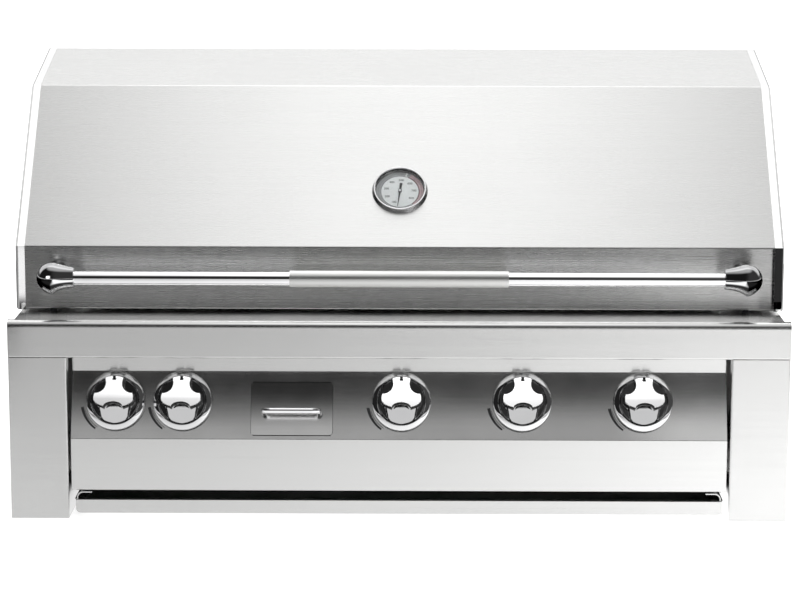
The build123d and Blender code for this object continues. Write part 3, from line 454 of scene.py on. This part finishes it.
def knob_height(u, v):
    """Height of a knob's front above the panel over places across and up it, and the head's share there."""
    from_middle = np.hypot(u, v)
    side = np.abs(u)
    # chin: a wide ledge that slopes down to the rim, with a dome on it
    chin_half = np.interp(v, (-32.5, -30.0, -24.0, -12.0, -4.0), (9.0, 13.5, 18.2, 20.6, 22.0))
    chin_edge = np.minimum(chin_half - side, np.minimum(31.8 - from_middle, -v - 2.0))
    dome = np.sqrt(np.clip(CHIN_DOME_RADIUS**2 - u**2 - (v + CHIN_DOME_DOWN) ** 2, 0.0, None)) - CHIN_DOME_SUNK
    chin = CHIN_LEVEL + (v + 10.0) * CHIN_SLOPE + np.maximum(dome, 0.0)
    height = KNOB_SKIRT + (np.maximum(chin, KNOB_SKIRT) - KNOB_SKIRT) * soft_step(chin_edge, 2.4)
    # head: a fish tail that slants down to the rim and turns under towards its wavy lower edge
    place = np.linspace(-20.0, 33.0, 531)
    fall = np.interp(place, (-14.0, -9.6, -6.3, -1.6, 3.0, 6.0), (0.2285, 0.2305, 0.2345, 0.2405, 0.29, 0.331))
    below_level = place < -5.05
    face = np.interp(v, place, HEAD_LEVEL - np.cumsum(fall) * HEAD_STEP + np.sum(fall[below_level]) * HEAD_STEP)
    half = np.interp(v, (-14.0, -10.0, -6.0, -3.0, 3.0, 8.0), (19.0, 22.5, 25.6, 27.6, 27.6, 25.8))
    scoop = np.hypot(side - SCOOP_SIDE, v - SCOOP_UP) - SCOOP_RADIUS
    lobe = np.where(v > SCOOP_UP, 11.9 + 0.12 * (v - SCOOP_UP) - side, NO_EDGE)
    edge = np.minimum.reduce([half - side, scoop, lobe, 32.3 - from_middle, (v - head_wave(side)) * 0.9])
    edge = np.minimum(edge, np.where(v > NICK_UP, side - NICK_HALF, NO_EDGE))
    share = soft_step(edge, 1.2)
    height = height + (face - height) * share
    rim = np.clip((from_middle - SKIRT_TURN) / (KNOB_RADIUS - SKIRT_TURN), 0.0, 1.0)
    lowered = KNOB_FOOT + 2.0 + (height - KNOB_FOOT - 2.0) * np.sqrt(1.0 - rim**2)
    return np.where((from_middle > SKIRT_TURN) & (height < SKIRT_ONLY), lowered, height), share


def knob_mesh():
    """Points and faces of a knob, and each point's share of the head: front, wall and flat back."""
    ring = np.linspace(0.0, 1.0, KNOB_RINGS + 1)[1:] * KNOB_RADIUS
    angle = circle(KNOB_SEGMENTS)
    u, v = np.outer(ring, np.cos(angle)), np.outer(ring, np.sin(angle))
    w, head = knob_height(u, v)
    rows = [np.stack([u[i], v[i], w[i]], axis=1) for i in range(KNOB_RINGS)]
    wall = ((KNOB_RADIUS, KNOB_FOOT + 0.4), (KNOB_RADIUS - 0.4, KNOB_FOOT), (KNOB_BACK_HOLE, KNOB_FOOT))
    middle, share = knob_height(np.zeros(1), np.zeros(1))
    points, faces = capped((0.0, 0.0, float(middle[0])), rows + rings(wall, angle), (0.0, 0.0, KNOB_FOOT))
    head = np.concatenate([share, head.ravel(), np.zeros(len(wall) * KNOB_SEGMENTS + 1)])
    return points, flipped(faces), head


knob_frames = {number: joint_frame(f"knob_{number}_turn") for number in KNOBS}
knob_points, knob_faces, knob_head = knob_mesh()
knob_forms = []
for number in KNOBS:
    piece = formed(f"knob_form_{number}", carried(knob_points, *knob_frames[number]), knob_faces, "chrome",
                   f"knob_{number}", material=KNOB_CHROME, replaces=(f"control_knob_{number}",), sharp=50.0)
    # Head share per point: where the knob chrome paints its reflection.
    layer = piece.data.attributes.new("head", "FLOAT", "POINT")
    layer.data.foreach_set("value", knob_head.astype(np.float32))
    knob_forms.append(piece)

# Bezels, which fall off steadily from a crest at the bore to the rim
BEZEL_PROFILE = (
    (33.3, 0.02), (33.3, 11.9), (33.5, 12.3), (33.9, 12.4), (34.4, 12.28), (35.5, 11.85), (36.7, 11.33),
    (37.9, 10.75), (39.0, 10.15), (39.8, 9.55), (40.3, 8.9), (40.6, 8.0), (40.7, 6.8), (40.7, 0.02),
)
bezel_points, bezel_faces = looped(rings(BEZEL_PROFILE, circle(144)))
points, faces = gathered([(carried(bezel_points, *knob_frames[number]), bezel_faces) for number in KNOBS])
bezels = formed("bezel_forms", points, faces, "chrome", "cabinet", material=BEZEL_CHROME,
                replaces=("knob_bezels",), sharp=60.0)

# Black strip below each knob's head, along the wall between head and chin: painted shade
shade_line_across = np.linspace(-20.5, 20.5, 83)
shade_line_up = head_wave(np.abs(shade_line_across)) - 0.75
shade_line_points = np.concatenate([
    np.stack([shade_line_across, shade_line_up + shift, np.full_like(shade_line_across, level)], axis=1)
    for shift, level in ((0.0, 23.0), (0.0, 36.6), (0.5, 36.6), (0.5, 23.0))
])
count = len(shade_line_across)
shade_line_faces = [(k * count + i, k * count + i + 1, (k + 1) % 4 * count + i + 1, (k + 1) % 4 * count + i)
              for k in range(4) for i in range(count - 1)]
shade_line_faces += [(0, count, 2 * count, 3 * count), (4 * count - 1, 3 * count - 1, 2 * count - 1, count - 1)]
for number in KNOBS:
    formed(f"knob_seam_{number}", carried(shade_line_points, *knob_frames[number]), shade_line_faces, "pointer_black",
           f"knob_{number}", sharp=40.0)


# Handle brackets: a ball, a tapering arm with a collar round the tube, and a stalk to the hood

BALL_RADIUS = 20.9
BALL_FROM_END = 24.0
COLLAR_END = -30.5
COLLAR_BORE = 9.55
BORE_END = -22.0
BRACKET_STATIONS = 72
BRACKET_AROUND = 96
RIDGE_HALF_ANGLE = 0.30
STALK_PROFILE = (
    (13.0, -8.0), (12.6, -19.0), (11.4, -26.0), (10.8, -36.0), (11.4, -46.0), (13.2, -53.0), (14.6, -56.0),
    (15.0, -57.0),
)


def bracket_rings(angle):
    """Rings round a handle bracket, from its collar to the far side of its ball, across, up and out."""
    inner = np.linspace(COLLAR_END, 0.0, BRACKET_STATIONS)
    outer = BALL_RADIUS * np.sin(np.linspace(0.0, np.pi / 2.0, BRACKET_STATIONS // 2))[1:-1]
    stations = np.concatenate([inner, outer])
    sphere = np.sqrt(np.clip(BALL_RADIUS**2 - stations**2, 0.0, None))
    arm_top = np.interp(stations, (COLLAR_END, -5.0), (14.4, 20.7))
    tops = np.where(stations > -5.0, sphere * 1.02, arm_top)
    arm_keel = np.interp(stations, (COLLAR_END, -24.0, -20.0, -14.0, -8.6, -4.0, 0.0),
                         (12.6, 13.4, 14.1, 15.5, 17.4, 19.8, 22.6))
    ball_keel = sphere * (1.0 + 0.081 * np.clip(1.0 - stations / BALL_RADIUS, 0.0, 1.0) ** 2)
    keels = np.where(stations > 0.0, ball_keel, arm_keel)
    along = np.clip((stations - COLLAR_END) / -COLLAR_END, 0.0, 1.0)
    fronts = np.where(stations > 0.0, sphere, 12.8 + 8.1 * np.sin(np.pi / 2.0 * along))
    up, out = np.sin(angle), np.cos(angle)
    ridge = np.exp(-(((angle - 1.5 * np.pi) / RIDGE_HALF_ANGLE) ** 2))
    found = []
    for x, top, keel, front in zip(stations, tops, keels, fronts):
        height = np.where(up > 0.0, top * up, up * (0.94 * keel + 0.06 * keel * ridge))
        found.append(np.stack([np.full_like(angle, x), height, out * front], axis=1))
    return found


def bracket_mesh():
    """Points and faces of the bracket whose ball is at its right end."""
    angle = circle(BRACKET_AROUND)
    bore = [np.stack([np.full_like(angle, x), COLLAR_BORE * np.sin(angle), COLLAR_BORE * np.cos(angle)], axis=1)
            for x in (BORE_END, COLLAR_END)]
    arm = capped((BORE_END, 0.0, 0.0), bore + bracket_rings(angle), (BALL_RADIUS, 0.0, 0.0))
    nearest, furthest = STALK_PROFILE[0][1], STALK_PROFILE[-1][1]
    points, faces = capped((0.0, 0.0, nearest), rings(STALK_PROFILE, angle), (0.0, 0.0, furthest))
    return gathered([arm, (points, flipped(faces))])


tube_low, tube_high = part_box("handle_tube")
tube_middle = (tube_low + tube_high) / 2.0
ball_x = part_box("handle_brackets")[1].x - BALL_FROM_END * MM
bracket_points, bracket_faces = bracket_mesh()
both = []
for side in (-1.0, 1.0):
    centre = np.array((side * ball_x, tube_middle.y, tube_middle.z))
    axes = np.array(((side, 0.0, 0.0), (0.0, 0.0, 1.0), (0.0, -1.0, 0.0)))
    faces = bracket_faces if side > 0.0 else [face[::-1] for face in bracket_faces]
    both.append((carried(bracket_points, centre, *axes), faces))
points, faces = gathered(both)
bracket_forms = formed("handle_bracket_forms", points, faces, "chrome", "hood", material=CAST_CHROME,
                       replaces=("handle_brackets",), sharp=50.0)


# Dial print: the hot zone, rings, ticks and plain numerals a hair above the dial; under them a grey ring round the
# dial's edge that is painted shadow of the rim

DIAL = joint_frame("pointer_turn")
DIAL_TOP = -2.0
INK_LEVEL = DIAL_TOP + 0.06
LAYER = 0.02
SCALE_START = 245.0
TICK_STEP = 5.0
TICKS = 57
TICKS_PER_FIGURE = 8
FIGURES = 8
FIGURE_SIZE = 4.8
FIGURE_RADIUS = 19.6


def numeral(text, angle):
    """Plain figures as a thin flat mesh, centred at an angle on the dial."""
    curve = bpy.data.curves.new("numeral", "FONT")
    curve.body = text
    curve.size = FIGURE_SIZE
    curve.offset = 0.06
    curve.align_x = "CENTER"
    curve.align_y = "CENTER"
    curve.extrude = 0.02
    curve.resolution_u = 3
    holder = bpy.data.objects.new("numeral", curve)
    mesh = bpy.data.meshes.new_from_object(holder)
    centre = (FIGURE_RADIUS * math.cos(angle), FIGURE_RADIUS * math.sin(angle), INK_LEVEL + LAYER)
    points = np.array([vertex.co for vertex in mesh.vertices]) + np.array(centre)
    faces = [tuple(polygon.vertices) for polygon in mesh.polygons]
    bpy.data.objects.remove(holder)
    bpy.data.meshes.remove(mesh)
    bpy.data.curves.remove(curve)
    return points, faces


def on_dial(name, parts, colour):
    """Flat parts of one colour as a piece on the dial: print, and in one case the rim's painted shadow."""
    points, faces = gathered(parts)
    formed(name, carried(points, *DIAL), faces, "dial_face", "hood", material=ink(name + "_ink", colour), sharp=30.0)


# Grey ring round the dial's edge: painted shadow of the rim, not print.
on_dial("dial_rim_shadow", [ring_part(27.4, 34.6, 75.0, 430.0, INK_LEVEL - LAYER, 180)], (0.42, 0.42, 0.43))
on_dial("dial_hot_zone", [ring_part(27.6, 34.6, -50.0, 62.0, INK_LEVEL, 60)], (0.62, 0.42, 0.44))
on_dial("dial_hot_line", [ring_part(26.2, 27.6, -52.0, 66.0, INK_LEVEL + LAYER, 60)], (0.09, 0.012, 0.018))
on_dial("dial_ring_line", [ring_part(26.3, 27.3, 68.0, 306.0, INK_LEVEL + LAYER, 120)], (0.2, 0.2, 0.21))
ticks = []
for index in range(TICKS):
    angle = SCALE_START - index * TICK_STEP
    inner = 28.2 if index % TICKS_PER_FIGURE == 0 else 29.6
    ticks.append(ring_part(inner, 31.2, angle - 0.5, angle + 0.5, INK_LEVEL + 2.0 * LAYER, 1))
on_dial("dial_ticks", ticks, (0.05, 0.05, 0.052))
figures = []
for index in range(FIGURES):
    angle = math.radians(SCALE_START - index * TICKS_PER_FIGURE * TICK_STEP)
    figures.append(numeral(str(100 * (index + 1)), angle))
on_dial("dial_numerals", figures, (0.06, 0.06, 0.062))

# Black ring between dial and glass, painted shade on the bore's inner wall; and the pointer with a broad counterweight
SHADE_RING_INNER, SHADE_RING_OUTER, SHADE_RING_TOP = 33.4, 34.1, 4.1
shade_ring_foot = DIAL_TOP + LAYER
points, faces = looped(rings(((SHADE_RING_OUTER, shade_ring_foot), (SHADE_RING_OUTER, SHADE_RING_TOP), (SHADE_RING_INNER, SHADE_RING_TOP),
                              (SHADE_RING_INNER, shade_ring_foot)), circle(96)))
formed("dial_shade_ring", carried(points, *DIAL), faces, "pointer_black", "hood", sharp=30.0)

POINTER_ANGLE = math.radians(263.0)
POINTER_HALF = ((26.4, 0.25), (2.6, 1.15), (1.6, 2.6), (-1.6, 2.6), (-3.0, 1.3), (-13.3, 2.0))
outline = [(26.4, -0.25), *POINTER_HALF, *[(along, -half) for along, half in POINTER_HALF[:0:-1]]]
lean = np.array([[math.cos(POINTER_ANGLE), math.sin(POINTER_ANGLE)],
                 [-math.sin(POINTER_ANGLE), math.cos(POINTER_ANGLE)]])
points, faces = plate_between(np.array(outline) @ lean, -0.2, 0.6)
formed("pointer_form", carried(points, *DIAL), faces, "pointer_black", "thermometer_pointer",
       replaces=("thermometer_pointer",), sharp=20.0)

HUB_PROFILE = ((1.9, 0.3), (1.9, 1.0), (1.7, 1.35), (1.1, 1.6), (0.4, 1.7))
points, faces = capped((0.0, 0.0, HUB_PROFILE[0][1]), rings(HUB_PROFILE, circle(64)),
                       (0.0, 0.0, HUB_PROFILE[-1][1]))
formed("pointer_cap", carried(points, *DIAL), faces, "chrome", "thermometer_pointer", sharp=40.0)


# Printed scale beside each knob: a line that swells towards its upper end, and a fine one inside it

SCALE_STEPS = 40
SCALE_LEVEL = 0.1
sweep = np.linspace(0.0, 1.0, SCALE_STEPS + 1)
thick = ring_part(44.5 + 1.1 * sweep, 48.7 - 0.7 * sweep, 190.0, 234.0, SCALE_LEVEL, SCALE_STEPS)
fine = ring_part(43.4, 44.1, 196.0, 236.0, SCALE_LEVEL, SCALE_STEPS)
mark_points, mark_faces = gathered([thick, fine])
points, faces = gathered([(carried(mark_points, *knob_frames[number]), mark_faces) for number in KNOBS])
formed("knob_scales", points, faces, "pointer_black", "cabinet",
       material=ink("scale_ink", (0.03, 0.03, 0.031), 0.2), sharp=30.0)

# Black strips round the drawer's front plate, heavier at top and bottom: painted shadow in the gap between plate and
# panel
centre, across, up, out = knob_frames[3]
plate = NODES["smoker_front"]
corners = np.array([plate.matrix_world @ vertex.co for vertex in plate.data.vertices]) - centre
left, right = (corners @ across).min() / MM, (corners @ across).max() / MM
below, above = (corners @ up).min() / MM, (corners @ up).max() / MM
SHADOW_GAP_BACK, SHADOW_GAP_FRONT = 0.06, 0.7
strips = (
    (left + 2.5, right - 2.5, above - 0.3, above + 1.1),
    (left + 2.5, right - 2.5, below - 0.9, below + 0.3),
    (left - 0.45, left + 0.3, below + 3.0, above - 3.0),
    (right - 0.3, right + 0.45, below + 3.0, above - 3.0),
)
points, faces = gathered([
    plate_between([(start, foot), (end, foot), (end, top), (start, top)], SHADOW_GAP_BACK, SHADOW_GAP_FRONT)
    for start, end, foot, top in strips
])
formed("plate_shadow_gap", carried(points, centre, across, up, out), faces, "pointer_black", "smoker_drawer", sharp=30.0)


# Camera, as far off and as high as the photograph's

CAMERA_PLACE = Vector((27.0, -3551.0, 932.0)) * MM + Vector((0.0, FRONT_Y, 0.0))
CAMERA_AIM = Vector((1.4 * MM, FRONT_Y, 306.8 * MM))
CAMERA_ROLL = math.radians(0.11)
FOCAL_PIXELS = 2658.0
IMAGE_WIDTH = 800.0
SENSOR = 36.0

camera = bpy.data.objects.new("camera", bpy.data.cameras.new("camera"))
scene.collection.objects.link(camera)
camera.data.sensor_width = SENSOR
camera.data.lens = SENSOR * FOCAL_PIXELS / IMAGE_WIDTH
camera.data.clip_start = 0.1
camera.data.clip_end = 200.0
camera.rotation_mode = "QUATERNION"
camera.location = CAMERA_PLACE
aim = (CAMERA_AIM - CAMERA_PLACE).to_track_quat("-Z", "Y").to_matrix().to_4x4()
camera.rotation_quaternion = (aim @ Matrix.Rotation(CAMERA_ROLL, 4, "Z")).to_quaternion()
scene.camera = camera
scene.view_settings.view_transform = "Standard"


# Light: a bright ceiling, a pale floor, and dark in front between them

BELL_BASE = 2.718
CEILING_FOOT, CEILING_FULL = 0.66, 0.93


def overhead(graph, across, height, radius, narrow, strongest, weakest):
    """Light from above: strongest over the middle, gone towards the horizon."""
    bell = graph.calc("POWER", BELL_BASE, graph.times(graph.times(across, across), -narrow / radius**2))
    level = graph.calc("MAXIMUM", graph.times(bell, strongest), weakest)
    return graph.times(graph.ease(height, CEILING_FOOT * radius, CEILING_FULL * radius), level)


world = bpy.data.worlds.new("studio")
scene.world = world
graph = Graph(world)
dx, dy, dz = graph.split(graph.add("TexCoord").outputs["Generated"])
ceiling = overhead(graph, dx, dz, 1.0, 27.4, 1.56, 0.35)
ceiling = graph.times(ceiling, graph.minus(1.0, graph.add("LightPath").outputs["Is Glossy Ray"]))
rear = graph.times(graph.times(graph.ease(dy, 0.0, 0.3), graph.ease(dz, 0.2, 0.4, 0.12, 1.0)), 1.23)
low = graph.ease(dz, 0.03, 0.06, 1.0, 0.0)
dark = graph.ease(dx, -0.15, 0.25, 0.018, 0.07)
glow = graph.calc("MAXIMUM", graph.calc("MAXIMUM", ceiling, rear), graph.calc("MAXIMUM", low, dark))
seen = graph.add("LightPath").outputs["Is Camera Ray"]
power = graph.pick(seen, graph.join(glow, glow, glow), (1.0, 1.0, 1.0))
graph.close(graph.add("Background", {0: power, 1: 1.0}).outputs[0], "OutputWorld")


def staged(name, points, faces):
    """New mesh for the stage round the object, linked to the scene."""
    mesh = bpy.data.meshes.new(name)
    mesh.from_pydata([tuple(p) for p in points], [], faces)
    piece = bpy.data.objects.new(name, mesh)
    scene.collection.objects.link(piece)
    return piece


def for_gloss_only(piece):
    """Piece that is seen in reflections and nowhere else."""
    piece.visible_camera = False
    piece.visible_diffuse = False
    piece.visible_shadow = False
    piece.visible_transmission = False
    piece.visible_volume_scatter = False
    return piece


def level_sheet(name, low, high, height):
    """Level rectangle."""
    (left, near), (right, far) = low, high
    corners = [(left, near, height), (right, near, height), (right, far, height), (left, far, height)]
    return staged(name, corners, [(0, 1, 2, 3)])


def upright_card(name, low, high, depth):
    """Upright rectangle across the view, for gloss only."""
    (left, foot), (right, top) = low, high
    corners = [(left, depth, foot), (right, depth, foot), (right, depth, top), (left, depth, top)]
    return for_gloss_only(staged(name, corners, [(0, 1, 2, 3)]))


DOME_RADIUS = 25.0
DOME_ROWS = 24
DOME_AROUND = 64


def half_dome(name, radius):
    """Upper half of a large sphere, for light from above and for gloss only."""
    tilt = np.arange(DOME_ROWS) * (np.pi / 2.0 / DOME_ROWS)
    rows = rings(zip(radius * np.cos(tilt), radius * np.sin(tilt)), circle(DOME_AROUND))
    top = DOME_ROWS * DOME_AROUND
    faces = flipped(fan(top, top - DOME_AROUND, DOME_AROUND))
    for i in range(DOME_ROWS - 1):
        faces += band(i * DOME_AROUND, (i + 1) * DOME_AROUND, DOME_AROUND)
    return for_gloss_only(staged(name, np.concatenate([*rows, [(0.0, 0.0, radius)]]), faces))


def shining(card, power, pieces, see_through=True, reach="INCLUDE"):
    """Card that lights some pieces, or all but some, with a power worked out over its own places."""
    graph = Graph(bpy.data.materials.new(card.name + "_light"))
    glow = graph.add("Emission", {0: (1.0, 1.0, 1.0), 1: power(graph, *graph.split(graph.place()))}).outputs[0]
    if see_through:
        clear = graph.add("BsdfTransparent", {0: (1.0, 1.0, 1.0)}).outputs[0]
        glow = graph.add("AddShader", {0: clear, 1: glow}).outputs[0]
    card.data.materials.append(graph.close(glow))
    group = bpy.data.collections.new(card.name + "_reach")
    for piece in pieces:
        group.objects.link(piece)
    for entry in group.collection_objects:
        entry.light_linking.link_state = reach
    card.light_linking.receiver_collection = group


FLOOR_HALF = 30.0
floor = level_sheet("floor", (-FLOOR_HALF, -FLOOR_HALF), (FLOOR_HALF, FLOOR_HALF), 0.0)
floor.visible_glossy = False
graph = Graph(bpy.data.materials.new("floor_white"))
matt = graph.add("BsdfDiffuse", {0: (0.8, 0.8, 0.8)})
glow = graph.add("Emission", {0: (1.0, 1.0, 1.0), 1: 0.78})
white = graph.add("AddShader", {0: matt.outputs[0], 1: glow.outputs[0]})
floor.data.materials.append(graph.close(white.outputs[0]))


# Powers of the cards over their own places, x across, y in depth and z up, in metres


def floor_power(graph, x, y, z):
    """Floor as most steel reflects it: lighter to the right, dimmer far out."""
    near = graph.spread(graph.minus(FRONT_Y, y), 0.3, 1.05, 0.94, 0.7)
    side = graph.calc("POWER", graph.calc("MINIMUM", graph.spread(x, -0.6, 0.65), 1.2), 1.7)
    away = graph.ease(graph.calc("ABSOLUTE", x), 0.95, 1.7, 1.0, 0.4)
    return graph.times(graph.times(near, away), graph.calc("MULTIPLY_ADD", side, 0.9, 1.0))


def hood_floor_power(graph, x, y, z):
    """Floor as the hood reflects it: fading with distance, lighter to the right."""
    near = graph.spread(graph.minus(FRONT_Y, y), 0.85, 2.15, 1.8, 0.17)
    side = graph.plus(graph.ease(x, 0.1, 0.65, 0.185, 0.62), graph.ease(x, 0.3, 0.62, 0.0, 0.25))
    return graph.times(near, side)


def hood_low_power(graph, x, y, z):
    """Shelf as the hood's foot reflects it."""
    side = graph.plus(0.06, graph.ease(x, 0.25, 0.45, 0.0, 0.1))
    return graph.times(side, graph.ease(z, 0.288, 0.345, 1.0, 0.0))


def shelf_power(graph, x, y, z):
    """Hood's foot as the shelf reflects it, with a dark line where they meet."""
    above = graph.ease(graph.minus(z, SHELF_Z), 0.003, 0.005)
    return graph.times(above, graph.spread(x, -0.4, 0.5, 0.3, 0.47))


def shelf_shade_power(graph, x, y, z):
    """Dark ends of the hood's foot as the shelf reflects them."""
    return graph.ease(z, SHELF_Z + 0.004, SHELF_Z + 0.008, 0.01, 0.25)


def knob_floor_power(graph, x, y, z):
    """Floor as the knobs reflect it."""
    return graph.ease(graph.minus(FRONT_Y, y), 0.5, 0.8, 0.98, 1.03)


def bracket_floor_power(graph, x, y, z):
    """Floor as the cast brackets reflect it: dark close to the grill and beside it."""
    inner = graph.ease(graph.calc("ABSOLUTE", x), 0.38, 0.52, 2.3, 0.03)
    return graph.times(inner, graph.ease(graph.minus(FRONT_Y, y), 0.2, 0.42, 0.03, 1.0))


def panel_power(graph, x, y, z):
    """Soft strip that the control panel reflects, with its own lights and darks low and high."""
    fade = graph.times(graph.ease(z, 0.262, 0.318, 1.0, 0.0), graph.ease(z, 0.205, 0.23))
    low = graph.plus(graph.ease(x, -0.1, 0.25, 0.62, 0.5), graph.ease(x, 0.3, 0.46, 0.0, 0.42))
    high = graph.plus(graph.ease(x, -0.25, 0.3, 0.4, 0.74), graph.ease(x, 0.3, 0.46, 0.0, 0.38))
    share = graph.ease(z, 0.265, 0.285)
    side = graph.plus(graph.times(share, high), graph.times(graph.minus(1.0, share), low))
    return graph.times(fade, side)


def dome_power(graph, x, y, z):
    """Ceiling as most pieces reflect it."""
    return overhead(graph, x, z, DOME_RADIUS, 22.0, 1.57, 0.36)


def cap_dome_power(graph, x, y, z):
    """Ceiling as the hood's end caps reflect it."""
    return graph.ease(z, CEILING_FOOT * DOME_RADIUS, CEILING_FULL * DOME_RADIUS, 0.0, 1.5)


def bracket_dome_power(graph, x, y, z):
    """Ceiling as the cast brackets reflect it: small and dim."""
    return graph.ease(z, 0.82 * DOME_RADIUS, 0.98 * DOME_RADIUS, 0.0, 0.8)


def left_cap_power(graph, x, y, z):
    """Light over the middle heights of a narrow card."""
    return graph.times(graph.ease(z, 0.165, 0.185, 0.05, 1.15), graph.ease(z, 0.258, 0.275, 1.0, 0.1))


def lamp_power(graph, x, y, z):
    """Small bright spot with soft edges."""
    across = graph.ease(graph.calc("ABSOLUTE", graph.plus(x, 0.7)), 0.08, 0.2, 1.0, 0.0)
    upright = graph.ease(graph.calc("ABSOLUTE", graph.minus(z, 0.47)), 0.05, 0.12, 1.0, 0.0)
    return graph.times(graph.times(across, upright), 4.0)


def even(power):
    """The same power all over a card."""
    return lambda graph, x, y, z: power


# Domes and floors, each for the pieces that reflect it; a floor card starts just before the grill
SHEET_GAP = 0.0006
FLOOR_START = FRONT_Y - 0.04
hood_skin, front_rail = NODES["hood_skin"], NODES["front_rail"]
panel_and_plate = [NODES["control_panel"], NODES["smoker_front"]]
caps = [NODES["hood_cap_left"], NODES["hood_cap_right"]]
shining(half_dome("ceiling", DOME_RADIUS), dome_power,
        [bracket_forms, bezels, *panel_and_plate, *caps], reach="EXCLUDE")
shining(half_dome("cap_ceiling", 0.98 * DOME_RADIUS), cap_dome_power, caps)
shining(half_dome("bracket_ceiling", 0.99 * DOME_RADIUS), bracket_dome_power, [bracket_forms])
shining(for_gloss_only(level_sheet("floor_reflected", (-29.0, -29.0), (29.0, 29.0), SHEET_GAP)), floor_power,
        [hood_skin, bracket_forms, *knob_forms], see_through=False, reach="EXCLUDE")
for name, half_width, depth, layer, power, pieces in (
    ("hood_floor", 8.0, 9.0, 2, hood_floor_power, [hood_skin]),
    ("knob_floor", 8.0, 4.0, 3, knob_floor_power, knob_forms),
    ("bracket_floor", 2.0, 6.0, 4, bracket_floor_power, [bracket_forms]),
):
    card = level_sheet(name, (-half_width, FRONT_Y - depth), (half_width, FLOOR_START), layer * SHEET_GAP)
    shining(for_gloss_only(card), power, pieces)

# Strips near the grill: for the hood's foot, for the panel and the drawer's plate, and for the shelf
shining(upright_card("hood_low_light", (-0.5, SHELF_Z), (0.5, 0.37), HOOD_FRONT_Y - 0.02), hood_low_power, [hood_skin])
shining(upright_card("panel_light", (-0.55, 0.2), (0.65, 0.42), FRONT_Y - 0.25), panel_power, panel_and_plate)
SHELF_FOOT = SHELF_Z + 0.0003
shining(upright_card("shelf_light", (-0.53, SHELF_FOOT), (0.53, 0.38), HOOD_FRONT_Y - 0.003), shelf_power, [front_rail])
for left, right in ((-0.55, -0.499), (0.499, 0.55)):
    card = upright_card("shelf_shade", (left, SHELF_FOOT), (right, 0.345), HOOD_FRONT_Y + 0.002)
    shining(card, shelf_shade_power, [front_rail], see_through=False)

# Narrow cards that the front strips of the hood's end caps reflect: a light one left, a dark one right,
# and below the dark one another for the shelf
shining(upright_card("left_cap_light", (-0.66, 0.14), (-0.612, 0.3), FRONT_Y - 0.6), left_cap_power,
        [NODES["hood_cap_left"]], see_through=False)
cap_low, cap_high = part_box("hood_cap_right")
shade_left, shade_right = cap_low.x - 0.002, cap_high.x + 0.035
shade_y = cap_low.y - 0.012
shade_foot = SHELF_Z + 0.014
shining(upright_card("right_cap_shade", (shade_left, shade_foot), (shade_right, 0.3675), shade_y), even(0.03),
        [NODES["hood_cap_right"]], see_through=False)
shining(upright_card("right_shelf_shade", (shade_left, cap_low.z + 0.001), (shade_right, shade_foot), shade_y),
        even(0.36), [front_rail], see_through=False)

# Small lamp that shines in the left cast bracket
shining(upright_card("lamp", (-0.9, 0.35), (-0.5, 0.6), FRONT_Y - 0.5), lamp_power, [bracket_forms])

sun = bpy.data.objects.new("sun", bpy.data.lights.new("sun", "SUN"))
scene.collection.objects.link(sun)
sun.data.energy = 1.2
sun.data.angle = math.radians(60.0)
sun.rotation_euler = (math.radians(25.0), math.radians(12.0), 0.0)
sun.visible_glossy = False
